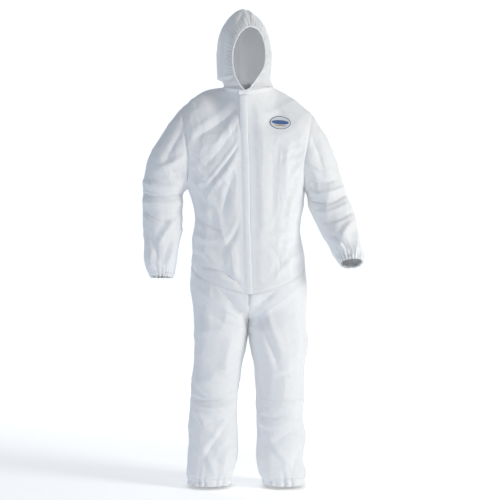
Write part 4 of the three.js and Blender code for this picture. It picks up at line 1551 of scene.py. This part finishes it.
    def hem(self, rims: dict, wardrobe: Wardrobe) -> None:
        """A soft roll of cloth along the rim and the elastic in it.

        Args:
            rims: the rim of each half.
            wardrobe: the finishes.
        """
        path = np.concatenate([rims[Side.RIGHT], rims[Side.LEFT][::-1][1:-1]])
        for name, radius, offset, material, slot, node in (
            ("face_hem_roll", 2.6, 0.0, wardrobe.cloth, "shell_fabric", "hood_face_hem"),
            ("face_elastic_cord", 1.3, 3.4, wardrobe.elastic, "elastic", "hood_elastic"),
        ):
            heading = np.roll(path, -1, axis=0) - np.roll(path, 1, axis=0)
            heading /= np.linalg.norm(heading, axis=1, keepdims=True)
            back = np.array([0.0, 1.0, 0.0]) - heading * heading[:, 1:2]
            back /= np.linalg.norm(back, axis=1, keepdims=True)
            side = np.cross(heading, back)
            angle = np.linspace(0, 2 * math.pi, 10, endpoint=False)
            ring = (back[:, None] * np.cos(angle)[None, :, None]
                    + side[:, None] * np.sin(angle)[None, :, None]) * radius
            centre = path + back * offset
            points = centre[:, None] + ring
            rows, cols = points.shape[:2]
            faces = ring_faces(rows + 1, cols) % (rows * cols)
            piece = mesh_object(name, world(points).reshape(-1, 3), faces,
                                np.stack([faces * 0.001, faces * 0.001], axis=-1).reshape(-1, 2))
            point_outwards(piece)
            piece.data.materials.append(material)
            attach(piece, self.bend())
            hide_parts(node)
            log.info("%s: %d faces", name, len(faces))


def point_outwards(piece: bpy.types.Object) -> None:
    """Turns a closed mesh right side out if its signed volume is negative.

    Args:
        piece: the object.
    """
    data = piece.data
    data.calc_loop_triangles()
    corners = np.empty(len(data.loop_triangles) * 3, np.int32)
    data.loop_triangles.foreach_get("vertices", corners)
    place = np.empty(len(data.vertices) * 3, np.float32)
    data.vertices.foreach_get("co", place)
    a, b, c = place.reshape(-1, 3)[corners.reshape(-1, 3)].transpose(1, 0, 2)
    if (a * np.cross(b, c)).sum() < 0:
        data.flip_normals()


# ---------------------------------------------------------------- folds


@dataclass
class FoldBook:
    """Where the garment's broad folds lie, as seen from the front and from behind."""

    left_depth: float = 0.66

    def depth(self, side: Side) -> float:
        """How deep a side's folds are: the left hangs smoother than the right."""
        return self.left_depth if side is Side.LEFT else 1.0

    def front(self, side: Side) -> list[Fold]:
        """Folds of one front."""
        if side is Side.RIGHT:
            return [
                Fold(((-26, 1400), (-84, 1352), (-150, 1305), (-200, 1272)), 19, -6.5, 0.5),
                Fold(((-22, 1352), (-70, 1282), (-120, 1215), (-180, 1158)), 17, -4.5, 0.6),
                Fold(((-28, 1262), (-66, 1206), (-108, 1152), (-148, 1108)), 9, -6.0, 0.7),
                Fold(((-36, 1232), (-76, 1160), (-128, 1096)), 12, 3.2, -0.5),
                Fold(((-52, 1150), (-78, 1078), (-98, 1000)), 13, -3.6, 0.5),
                Fold(((-128, 1110), (-152, 1035), (-150, 965)), 17, 3.2, 0.2),
                Fold(((-24, 985), (-52, 925), (-94, 872)), 11, -3.6, 0.5),
                Fold(((-192, 1118), (-156, 1066), (-118, 1030)), 10, 3.4, 0.3),
                Fold(((-196, 1000), (-150, 962), (-95, 942)), 12, -3.2, 0.5),
                Fold(((-194, 930), (-145, 905), (-80, 912)), 12, 3.2, 0.3),
                Fold(((-200, 878), (-150, 850), (-105, 800)), 13, 4, 0.4),
                Fold(((-60, 900), (-56, 830), (-42, 765)), 15, 2.6, 0.0),
                Fold(((-170, 812), (-96, 792), (-50, 762), (-10, 728)), 10, -6, 0.3),
                Fold(((-214, 1226), (-184, 1205), (-140, 1190)), 9, -3.2, 0.3),
                Fold(((-212, 1180), (-184, 1165), (-155, 1125)), 9, 3.0, 0.0),
            ]
        return [
            Fold(((20, 1400), (60, 1370), (110, 1385), (150, 1410)), 16, 3.5, 0.0),
            Fold(((30, 1385), (52, 1250), (50, 1100), (60, 950)), 18, 3.2, 0.2),
            Fold(((80, 1260), (92, 1150), (88, 1020), (96, 900)), 16, -3.0, 0.3),
            Fold(((140, 1270), (140, 1150), (130, 1030)), 16, 3.2, 0.0),
            Fold(((200, 1130), (170, 1080), (150, 1010), (150, 930)), 11, 4, 0.4),
            Fold(((196, 1060), (165, 1000), (130, 960)), 10, -4, 0.4),
            Fold(((188, 960), (140, 935), (80, 930)), 12, 3, 0.0),
            Fold(((190, 900), (150, 880), (100, 880)), 11, -3.5, 0.4),
            Fold(((200, 860), (150, 830), (95, 770)), 12, 4, 0.3),
            Fold(((120, 800), (100, 860), (60, 900)), 12, -3, 0.0),
            Fold(((206, 1240), (170, 1215), (120, 1210)), 9, -3.5, 0.0),
            Fold(((204, 1185), (175, 1165), (150, 1120)), 8, 3.2, 0.0),
            Fold(((40, 870), (36, 800), (30, 740)), 12, 3, 0.0),
            Fold(((208, 1320), (160, 1345), (110, 1400)), 14, 3, 0.2),
        ]

    def back(self) -> list[Fold]:
        """Folds of the back: hanging from the shoulder blades and pulled at the waist."""
        folds = []
        for x, lean in ((-150, 0.3), (-95, -0.2), (-40, 0.3), (25, -0.3), (85, 0.2), (145, -0.3)):
            folds.append(Fold(((x * 1.1, 1330), (x, 1200), (x * 0.9, 1040), (x * 0.82, 950)),
                              17, 4.5, lean))
            folds.append(Fold(((x * 0.8 + 14, 900), (x + 10, 830), (x * 1.15, 760)), 14, 4, lean))
        for sign in (-1, 1):
            folds.append(Fold(((sign * 205, 1130), (sign * 150, 1090), (sign * 90, 1000)), 12, 5, 0.4))
            folds.append(Fold(((sign * 205, 1075), (sign * 150, 1020), (sign * 100, 950)), 10, -4, 0.4))
            folds.append(Fold(((sign * 80, 1440), (sign * 130, 1380), (sign * 200, 1330)), 14, 3, 0.2))
        return folds

    def leg(self, side: Side) -> list[Fold]:
        """Folds on the front of a leg: from the crotch, at the knee and on the shin."""
        if side is Side.RIGHT:
            return [
                Fold(((-170, 800), (-96, 780), (-50, 748), (-12, 712)), 9, -4.5, 0.3),
                Fold(((-10, 600), (-60, 640), (-130, 690), (-195, 740)), 15, 3.8, 0.4),
                Fold(((-12, 585), (-70, 600), (-140, 630)), 12, -4.5, 0.4),
                Fold(((-12, 640), (-60, 690), (-110, 730)), 10, -4, 0.3),
                Fold(((-60, 560), (-80, 480), (-85, 400)), 18, 4, 0.3),
                Fold(((-150, 620), (-165, 520), (-160, 420)), 17, 3.5, 0.0),
                Fold(((-195, 400), (-150, 350), (-90, 330)), 12, 4.5, 0.4),
                Fold(((-44, 345), (-95, 322), (-150, 314), (-205, 330)), 8, -6.5, 0.5),
                Fold(((-50, 300), (-110, 292), (-170, 300)), 12, 6, 0.3),
                Fold(((-50, 270), (-110, 245), (-200, 260)), 11, -4, 0.3),
                Fold(((-200, 290), (-150, 215), (-80, 160)), 12, 4.5, 0.4),
                Fold(((-60, 250), (-120, 170), (-170, 90)), 12, -5, 0.5),
                Fold(((-190, 190), (-150, 110), (-120, 40)), 12, 4, 0.2),
                Fold(((-70, 150), (-90, 90), (-90, 30)), 11, 3.5, 0.0),
            ]
        return [
            Fold(((28, 660), (60, 580), (88, 500), (112, 430)), 13, -7, 0.6),
            Fold(((60, 650), (95, 570), (125, 490)), 13, 5, -0.3),
            Fold(((12, 600), (70, 650), (140, 700), (205, 745)), 14, 5, 0.3),
            Fold(((12, 640), (60, 690), (110, 726)), 10, -4, 0.3),
            Fold(((170, 640), (185, 560), (180, 480)), 16, 4, 0.0),
            Fold(((200, 470), (150, 420), (90, 400)), 12, -4, 0.3),
            Fold(((130, 440), (135, 360), (120, 290)), 16, 3.5, 0.0),
            Fold(((38, 330), (90, 305), (150, 300), (198, 320)), 11, 4.5, 0.3),
            Fold(((36, 262), (80, 250), (140, 262), (196, 240)), 9, -6, 0.5),
            Fold(((40, 236), (90, 222), (150, 232)), 11, 5.5, 0.2),
            Fold(((196, 215), (150, 200), (80, 150)), 11, -4, 0.3),
            Fold(((60, 200), (110, 130), (160, 70)), 12, 4, 0.4),
            Fold(((195, 150), (170, 90), (165, 35)), 12, -3.5, 0.0),
            Fold(((70, 120), (85, 70), (80, 25)), 11, 3.5, 0.0),
        ]

    def leg_back(self, side: Side) -> list[Fold]:
        """Folds behind a leg: under the seat, behind the knee and above the hem."""
        s = side.sign
        return [
            Fold(((s * 14, 610), (s * 90, 640), (s * 190, 700)), 14, 5, 0.3),
            Fold(((s * 16, 585), (s * 90, 590), (s * 180, 630)), 11, -5, 0.3),
            Fold(((s * 100, 560), (s * 110, 460), (s * 115, 380)), 18, 4, 0.0),
            Fold(((s * 45, 345), (s * 110, 330), (s * 200, 350)), 10, -6, 0.3),
            Fold(((s * 45, 315), (s * 120, 300), (s * 205, 318)), 11, 6, 0.3),
            Fold(((s * 45, 282), (s * 120, 265), (s * 200, 280)), 10, -5.5, 0.3),
            Fold(((s * 60, 240), (s * 120, 160), (s * 190, 110)), 13, 4.5, 0.3),
            Fold(((s * 190, 220), (s * 150, 130), (s * 100, 50)), 13, -4, 0.3),
        ]

    def sleeve(self, side: Side) -> list[Fold]:
        """Folds on the front of a sleeve: from the armhole, at the elbow and the cuff."""
        if side is Side.RIGHT:
            return [
                Fold(((-228, 1330), (-275, 1250), (-310, 1180)), 12, -4.5, 0.3),
                Fold(((-232, 1220), (-275, 1190), (-330, 1170)), 10, 4.5, 0.3),
                Fold(((-236, 1150), (-280, 1140), (-340, 1150)), 9, -4.5, 0.3),
                Fold(((-240, 1115), (-290, 1100), (-350, 1108), (-388, 1125)), 12, 6.5, 0.3),
                Fold(((-244, 1075), (-295, 1064), (-350, 1066), (-390, 1082)), 8, -9, 0.6),
                Fold(((-244, 1040), (-300, 1035), (-386, 1050)), 11, 5, 0.2),
                Fold(((-388, 1020), (-340, 985), (-280, 970)), 10, -4.5, 0.4),
                Fold(((-250, 1000), (-300, 940), (-330, 880)), 12, 4.5, 0.3),
                Fold(((-380, 950), (-345, 890), (-330, 830)), 11, -4, 0.3),
                Fold(((-262, 900), (-285, 850), (-295, 800)), 9, 3.5, 0.0),
                Fold(((-350, 870), (-355, 830), (-345, 795)), 8, 3.5, 0.0),
            ]
        return [
            Fold(((226, 1300), (255, 1230), (280, 1160)), 12, -4.5, 0.3),
            Fold(((216, 1200), (255, 1170), (310, 1155)), 10, 4.5, 0.3),
            Fold(((222, 1130), (262, 1112), (330, 1130)), 9, -5.5, 0.4),
            Fold(((226, 1090), (280, 1075), (352, 1100)), 11, 6, 0.3),
            Fold(((232, 1050), (285, 1040), (362, 1072)), 8, -6.5, 0.5),
            Fold(((250, 1010), (300, 1010), (370, 1040)), 10, 5, 0.3),
            Fold(((268, 970), (320, 980), (386, 1010)), 8, -5, 0.4),
            Fold(((385, 985), (350, 940), (330, 880)), 11, 4.5, 0.3),
            Fold(((300, 930), (340, 900), (370, 850)), 9, -4, 0.3),
            Fold(((395, 930), (392, 885), (380, 845)), 9, 3.5, 0.0),
        ]

    def sleeve_back(self, side: Side) -> list[Fold]:
        """Folds behind a sleeve."""
        s, drop = side.sign, 0 if side is Side.RIGHT else 8
        return [
            Fold(((s * 232, 1320), (s * 280, 1240), (s * 320, 1170)), 13, 4.5, 0.3),
            Fold(((s * 228, 1180), (s * 280, 1160), (s * 350, 1170)), 10, -4.5, 0.3),
            Fold(((s * 240, 1105 - drop), (s * 300, 1090), (s * 375, 1110)), 11, 5.5, 0.3),
            Fold(((s * 245, 1065 - drop), (s * 305, 1052), (s * 380, 1075)), 9, -6, 0.4),
            Fold(((s * 250, 1020), (s * 310, 1005), (s * 385, 1030)), 11, 5, 0.3),
            Fold(((s * 260, 970), (s * 320, 920), (s * 360, 870)), 11, -4, 0.3),
        ]

    def hood(self, side: Side) -> list[Fold]:
        """Soft dents beside the face and over the neck."""
        if side is Side.RIGHT:
            return [
                Fold(((-62, 1690), (-88, 1630), (-92, 1560), (-86, 1510)), 13, -3.5, 0.3),
                Fold(((-70, 1600), (-84, 1560), (-84, 1520)), 8, 3, 0.2),
                Fold(((-20, 1740), (-30, 1715), (-38, 1690)), 9, -2.5, 0.0),
                Fold(((-100, 1498), (-70, 1490), (-52, 1500)), 5, -4, 0.0),
            ]
        return [
            Fold(((20, 1735), (30, 1712), (34, 1695)), 8, -2.0, 0.0),
            Fold(((62, 1660), (74, 1600), (72, 1540)), 8, 2.0, 0.2),
            Fold(((40, 1490), (60, 1475), (90, 1462)), 8, -3.0, 0.2),
        ]


# ---------------------------------------------------------------- zip and trims


@dataclass
class Fastening:
    """The zip with its coils, slider and tab, and the storm flap and chin tab over it."""

    trunk: Trunk
    flap_low: float = -22.0
    flap_high: float = 7.5
    flap_lift: float = 3.4
    flap_sewn: float = -0.7
    flap_rest: float = 0.55
    coil_pitch: float = 2.4
    coil_half: float = 2.3

    def __post_init__(self) -> None:
        """Works out the zip's own axes: across, inwards and up the zip."""
        top, bottom = np.array(self.trunk.zip_top), np.array(self.trunk.zip_bottom)
        self.length = float(np.linalg.norm(top - bottom))
        self.up = (top - bottom) / self.length
        across = np.array([1.0, 0, 0]) - self.up * self.up[0]
        self.across = across / np.linalg.norm(across)
        self.inward = np.cross(self.up, self.across)
        self.origin = bottom

    def place(self, x: np.ndarray, y: np.ndarray, z: np.ndarray) -> np.ndarray:
        """Points given across, inwards and up the zip, in millimetres above the hems."""
        x, y, z = np.broadcast_arrays(x, y, z)
        return (self.origin + x[..., None] * self.across + y[..., None] * self.inward
                + z[..., None] * self.up)

    def flap(self, wardrobe: Wardrobe) -> None:
        """A folded strip: its sewn edge sinks just into the front, its free edge lifts a little.

        Args:
            wardrobe: the finishes.
        """
        up = np.linspace(-12, self.length - 2, 260)[:, None]
        share = np.linspace(0, 1, 14)[None, :]
        x = mix(self.flap_low, self.flap_high, share) + 0 * up
        wave = 0.9 * np.sin(up / 61.0 + 0.6) + 0.6 * np.sin(up / 23.0) + 0.25 * np.sin(up / 9.0)
        rise = smooth(share, 0.0, 0.6) * (1 - 0.5 * smooth(share, 0.85, 1.0))
        sewn = mix(self.flap_sewn, self.flap_rest, smooth(share, 0.0, 0.2))
        lift = sewn + (self.flap_lift - self.flap_rest) * rise + 0.4 * wave * smooth(share, 0.3, 1.0)
        x = x + 0.8 * wave * smooth(share, 0.6, 1.0)
        grid = ClothGrid(self.place(x, -lift, up))
        grid = ClothGrid(grid.points[:, ::-1]) if grid.normals()[..., 1].mean() > 0 else grid
        piece = sew("storm_flap_cloth", grid, wardrobe.cloth, "storm_flap",
                    ["storm_flap"], 1.0)
        face_front(piece)

    def chin_tab(self, wardrobe: Wardrobe) -> None:
        """The small tab over the top of the zip, sewn along its upper edge.

        Args:
            wardrobe: the finishes.
        """
        low, high = box_above_hems("chin_tab")
        half = (high[0] - low[0]) / 2
        x = np.linspace(-half, half, 26)[None, :]
        up = np.linspace(0, 18, 12)[:, None]
        lift = 3.2 - 0.004 * x**2 + 1.2 * np.sin(up / 6.0) + 0.5 * np.sin(x / 5.0)
        grid = ClothGrid(self.place(x + 0 * up, -lift, self.length + up - 1))
        piece = sew("chin_tab_cloth", grid, wardrobe.binding, "torso",
                    ["chin_tab"], 1.0)
        face_front(piece)

    def coils(self, wardrobe: Wardrobe) -> None:
        """Both rows of nylon loops: one small bent bar repeated along the zip.

        Args:
            wardrobe: the finishes.
        """
        steps = int(self.length / self.coil_pitch)
        for side in Side:
            sign = side.sign
            bar = np.array([(0.2, 0.6), (1.0, 0.1), (2.3, 0.2), (2.4, 1.4), (2.2, 2.2), (0.4, 1.9)])
            shift = self.coil_pitch * (0.0 if side is Side.RIGHT else 0.5)
            up = np.arange(steps) * self.coil_pitch + shift + 0.6
            ring = np.array([(-0.75, 0), (0.75, 0)])
            x = sign * bar[None, None, :, 0]
            y = bar[None, None, :, 1] + 0.2
            z = up[:, None, None] + ring[None, :, None, 0]
            points = self.place(x, y, z)
            n = len(bar)
            j = np.arange(n)
            walls = np.stack([j, (j + 1) % n, n + (j + 1) % n, n + j], axis=1)
            caps = np.array([[0, 5, 4, 1], [1, 4, 3, 2], [6, 7, 10, 11], [7, 8, 9, 10]])
            tooth = np.concatenate([walls, caps])
            faces = (tooth[None] + (np.arange(steps) * 2 * n)[:, None, None]).reshape(-1, 4)
            piece = mesh_object(f"zip_coil_{side.value}", world(points).reshape(-1, 3), faces)
            point_outwards(piece)
            finish_solid(piece, wardrobe.nylon, "torso")

    def hardware(self, wardrobe: Wardrobe) -> None:
        """Gives the CAD tapes and stops their finish, and models the slider and tab.

        Args:
            wardrobe: the finishes.
        """
        for node, material in (
            ("zip_tape_right", wardrobe.tape), ("zip_tape_left", wardrobe.tape),
            ("zip_top_stop", wardrobe.lacquer), ("zip_bottom_stop", wardrobe.lacquer),
        ):
            frame["nodes"][node].data.materials.clear()
            frame["nodes"][node].data.materials.append(material)
        for name, node, width, dome in (
            ("slider_body", "zip_slider", 4.0, 0.7), ("slider_pull_tab", "zip_pull_tab", 3.0, 0.25),
        ):
            low, high = box_above_hems(node)
            middle = (low + high) / 2
            length = (high - low)[2] / 2 - 0.2
            self.plate(name, node, middle, width, length, dome, wardrobe)

    def plate(
        self, name: str, node: str, middle: np.ndarray, half_width: float, half_length: float,
        dome: float, wardrobe: Wardrobe,
    ) -> None:
        """A rounded, slightly domed plate: a superellipse disc closed by its mirror.

        Args:
            name: the piece's name.
            node: the CAD node it stands for.
            middle: its centre above the hems.
            half_width: across the zip.
            half_length: along the zip.
            dome: how far its face swells.
            wardrobe: the finishes.
        """
        ring = np.linspace(0, 2 * math.pi, 40, endpoint=False)
        spread = np.array([0.25, 0.55, 0.8, 0.94, 1.0, 1.0, 0.94, 0.8, 0.55, 0.25])
        level = np.array([1.0, 0.96, 0.85, 0.62, 0.25, -0.25, -0.62, -0.85, -0.96, -1.0])
        power = 2 / 3.4
        cx = np.sign(np.cos(ring)) * np.abs(np.cos(ring)) ** power
        cz = np.sign(np.sin(ring)) * np.abs(np.sin(ring)) ** power
        x = half_width * spread[:, None] * cx[None]
        z = half_length * (1 - (1 - spread[:, None]) * half_width / half_length) * cz[None]
        y = -level[:, None] * (0.55 + dome * (1 - spread[:, None])) + 0 * x
        points = (middle + x[..., None] * self.across + y[..., None] * self.inward
                  + z[..., None] * self.up)
        rows, cols = x.shape
        flat = points.reshape(-1, 3)
        faces = ring_faces(rows, cols)
        for first in (0, (rows - 1) * cols):
            lid = lid_faces(cols) + first
            faces = np.concatenate([faces, lid[:, ::-1] if first == 0 else lid])
        piece = mesh_object(name, world(flat), faces)
        point_outwards(piece)
        finish_solid(piece, wardrobe.lacquer, node, [node])

    def build(self, wardrobe: Wardrobe) -> None:
        """Makes the whole fastening.

        Args:
            wardrobe: the finishes.
        """
        self.coils(wardrobe)
        self.hardware(wardrobe)
        self.flap(wardrobe)
        self.chin_tab(wardrobe)


@dataclass(frozen=True)
class PatchLayer:
    """One flat oval of the chest patch.

    Attributes:
        name: of the piece.
        half_width: along the oval's long axis.
        half_height: along its short axis.
        rise: of its middle above the patch's middle.
        lift: out from the cloth.
        colour: sRGB hex colour of the printed film.
    """

    name: str
    half_width: float
    half_height: float
    rise: float
    lift: float
    colour: str


@dataclass
class Trims:
    """The oval chest patch with its plain bands, the blank size label and the waist elastic."""

    trunk: Trunk
    tilt: float = math.radians(-4)
    layers: tuple[PatchLayer, ...] = (
        PatchLayer("chest_patch_rim", 38.5, 24.0, 0.0, 1.0, "#454d5e"),
        PatchLayer("chest_patch_face", 36.4, 21.9, 0.0, 1.4, "#cdd3da"),
        PatchLayer("chest_patch_band", 31.5, 8.0, 1.5, 1.7, "#4a6491"),
        PatchLayer("chest_patch_line", 24.0, 2.0, -10.5, 1.7, "#b98d5c"),
    )

    def cloth_under(self, chest: bpy.types.Object, middle: np.ndarray) -> Callable:
        """Fits y = a + bx + cz + dx^2 + ez^2 + fxz to the cloth under the patch.

        Args:
            chest: the front that carries the patch.
            middle: the patch's middle above the hems.

        Returns:
            A function of x and z, measured from the middle, that gives y.
        """
        place = np.empty(len(chest.data.vertices) * 3, np.float32)
        chest.data.vertices.foreach_get("co", place)
        from_middle = place.reshape(-1, 3) / MM - (0, 0, HEM_LEVEL / MM) - middle
        near = (np.abs(from_middle[:, 0]) < 42) & (np.abs(from_middle[:, 2]) < 28)
        dx, dy, dz = from_middle[near].T
        terms = np.stack([np.ones_like(dx), dx, dz, dx**2, dz**2, dx * dz], axis=1)
        fit = np.linalg.lstsq(terms, dy + middle[1], rcond=None)[0]
        return lambda x, z: (fit[0] + fit[1] * x + fit[2] * z + fit[3] * x**2 + fit[4] * z**2
                             + fit[5] * x * z)

    def patch(self, wardrobe: Wardrobe, chest: bpy.types.Object) -> None:
        """Lays the patch's blank ovals on the wearer's left chest.

        Args:
            wardrobe: the finishes; not used.
            chest: the front that carries the patch.
        """
        low, high = box_above_hems("chest_patch")
        middle = (low + high) / 2
        depth_at = self.cloth_under(chest, middle)
        radius = np.linspace(0, 1, 14)[1:, None]
        angle = np.linspace(0, 2 * math.pi, 64, endpoint=False)[None]
        for layer in self.layers:
            along = layer.half_width * radius * np.cos(angle)
            up = layer.half_height * radius * np.sin(angle) + layer.rise
            x = along * math.cos(self.tilt) - up * math.sin(self.tilt)
            z = along * math.sin(self.tilt) + up * math.cos(self.tilt)
            points = np.stack([x + middle[0], depth_at(x, z) - layer.lift, z + middle[2]], axis=-1)
            rows, cols = x.shape
            faces = np.concatenate([ring_faces(rows, cols), lid_faces(cols)[:, ::-1]])
            piece = mesh_object(layer.name, world(points).reshape(-1, 3), faces)
            face_front(piece)
            give_wall(piece, 0.3)
            film = MouldedPlastic(f"printed_film_{layer.name[12:]}", layer.colour, 0.4).material()
            finish_solid(piece, film, "torso",
                         ["chest_patch"] if layer is self.layers[0] else [])

    def inside(self, wardrobe: Wardrobe) -> None:
        """The elastic inside the back waist and the label inside the neck.

        Args:
            wardrobe: the finishes.
        """
        x = np.linspace(-150, 150, 120)[None]
        height = np.linspace(self.trunk.waist_height - 6, self.trunk.waist_height + 6, 5)[:, None] + 0 * x
        across = np.abs(x) / 205 + 0 * height
        sides = [self.trunk.level(across, height, side, Facing.BACK, 0.0) for side in Side]
        points = np.where((x < 0)[..., None], sides[0], sides[1])
        points[..., 1] -= 15.0
        grid = ClothGrid(points)
        sew("back_waist_elastic_band", grid, wardrobe.elastic, "torso",
            ["back_waist_elastic"], 0.8)
        low, high = box_above_hems("size_label")
        x = np.linspace(low[0], high[0], 16)[None]
        z = np.linspace(low[2], high[2], 12)[:, None]
        y = (low[1] + high[1]) / 2 + 1.5 * np.sin((z - low[2]) / 9) * np.cos(x / 14)
        grid = ClothGrid(np.stack(np.broadcast_arrays(x, y, z), axis=-1))
        sew("size_label_ribbon", grid, wardrobe.ribbon, "torso", ["size_label"],
            0.4)

    def build(self, wardrobe: Wardrobe) -> None:
        """Makes all the trims."""
        self.patch(wardrobe, bpy.data.objects["left_front_cloth"])
        self.inside(wardrobe)


# ---------------------------------------------------------------- studio


@dataclass
class Studio:
    """Pale floor, pale surroundings, soft lights and the camera."""

    distance: float = 5.6
    frame_height: float = 1.855
    camera_height: float = 1.02
    look_height: float = 0.868
    look_x: float = 0.007
    floor_size: float = 7.0
    floor_drop: float = 0.012
    floor_glow: float = 0.3

    def floor(self) -> None:
        """A pale floor just under the hems; a little light of its own keeps it even."""
        bpy.ops.mesh.primitive_plane_add(size=self.floor_size,
                                         location=(0, 0, HEM_LEVEL - self.floor_drop))
        ground = bpy.context.object
        ground.name = "studio_floor"
        material, _, shader = new_material("painted_floor")
        shader.inputs["Base Color"].default_value = linear("#fbfbfb")
        shader.inputs["Roughness"].default_value = 0.9
        shader.inputs["Emission Color"].default_value = linear("#ffffff")
        shader.inputs["Emission Strength"].default_value = self.floor_glow
        ground.data.materials.append(material)

    def light(
        self, name: str, where: tuple, size: float, power: float, colour: str,
        aim: tuple = (0.0, 0.0, 1.0), spread: float = 180,
    ) -> None:
        """Adds a square area light.

        Args:
            name: of the light.
            where: its middle, in metres above the hems.
            size: length of its edges in metres.
            power: in watts.
            colour: sRGB hex colour.
            aim: the point it faces, in metres above the hems.
            spread: how wide it shines, in degrees.
        """
        data = bpy.data.lights.new(name, "AREA")
        data.size, data.energy = size, power
        data.color = linear(colour)[:3]
        data.spread = math.radians(spread)
        lamp = bpy.data.objects.new(name, data)
        lamp.location = Vector(where) + Vector((0, 0, HEM_LEVEL))
        target = Vector(aim) + Vector((0, 0, HEM_LEVEL))
        lamp.rotation_euler = (target - lamp.location).to_track_quat("-Z", "Y").to_euler()
        bpy.context.scene.collection.objects.link(lamp)

    def surroundings(self) -> None:
        """A white wall behind the garment that fades to a dimmer room in front of it."""
        world = bpy.data.worlds.new("surroundings")
        world.use_nodes = True
        tree = world.node_tree
        tree.nodes.clear()
        heading = add_node(tree, "ShaderNodeTexCoord").outputs["Generated"]
        parts = add_node(tree, "ShaderNodeSeparateXYZ", Vector=heading)
        back = add_node(
            tree, "ShaderNodeMapRange", {"interpolation_type": "SMOOTHSTEP"},
            Value=parts.outputs[1], From_Min=0.45, From_Max=0.93, To_Min=0.4, To_Max=1.14,
        )
        glow = add_node(tree, "ShaderNodeBackground", Color=linear("#f2f8ff"), Strength=back.outputs[0])
        add_node(tree, "ShaderNodeOutputWorld", Surface=glow.outputs[0])
        bpy.context.scene.world = world

    def build(self) -> None:
        """Makes the surroundings, the lights and the camera."""
        self.floor()
        self.light("key", (3.6, -2.1, 2.4), 1.2, 96, "#fffcf5")
        self.light("fill", (0.9, -5.2, 1.6), 1.6, 24, "#fdfdff")
        self.light("cool_bounce", (-3.0, -1.5, 0.3), 1.5, 17, "#8fbdf0")
        self.light("floor_wash", (0.0, 3.6, 3.2), 3.0, 22, "#ffffff", (0.0, 3.4, 0.0), 80)
        self.surroundings()
        bpy.context.scene.view_settings.view_transform = "Standard"
        data = bpy.data.cameras.new("camera")
        data.sensor_width = 36.0
        data.lens = data.sensor_width * self.distance / self.frame_height
        data.clip_end = 100.0
        camera = bpy.data.objects.new("camera", data)
        camera.location = (self.look_x, -self.distance, HEM_LEVEL + self.camera_height)
        target = Vector((self.look_x, 0, HEM_LEVEL + self.look_height))
        camera.rotation_euler = (target - camera.location).to_track_quat("-Z", "Y").to_euler()
        bpy.context.scene.collection.objects.link(camera)
        bpy.context.scene.camera = camera


def main() -> None:
    """Builds the studio and the garment piece by piece."""
    logging.basicConfig(level=logging.INFO, format="%(name)s: %(message)s")
    Studio().build()
    wardrobe = Wardrobe()
    folds = FoldBook()
    trunk = Trunk()
    trunk.build(wardrobe, folds)
    for side in Side:
        Sleeve(side, trunk).build(wardrobe, folds)
        Leg(side, trunk).build(wardrobe, folds)
    Hood(trunk).build(wardrobe, folds)
    Fastening(trunk).build(wardrobe)
    Trims(trunk).build(wardrobe)


if __name__ == "__main__":
    main()
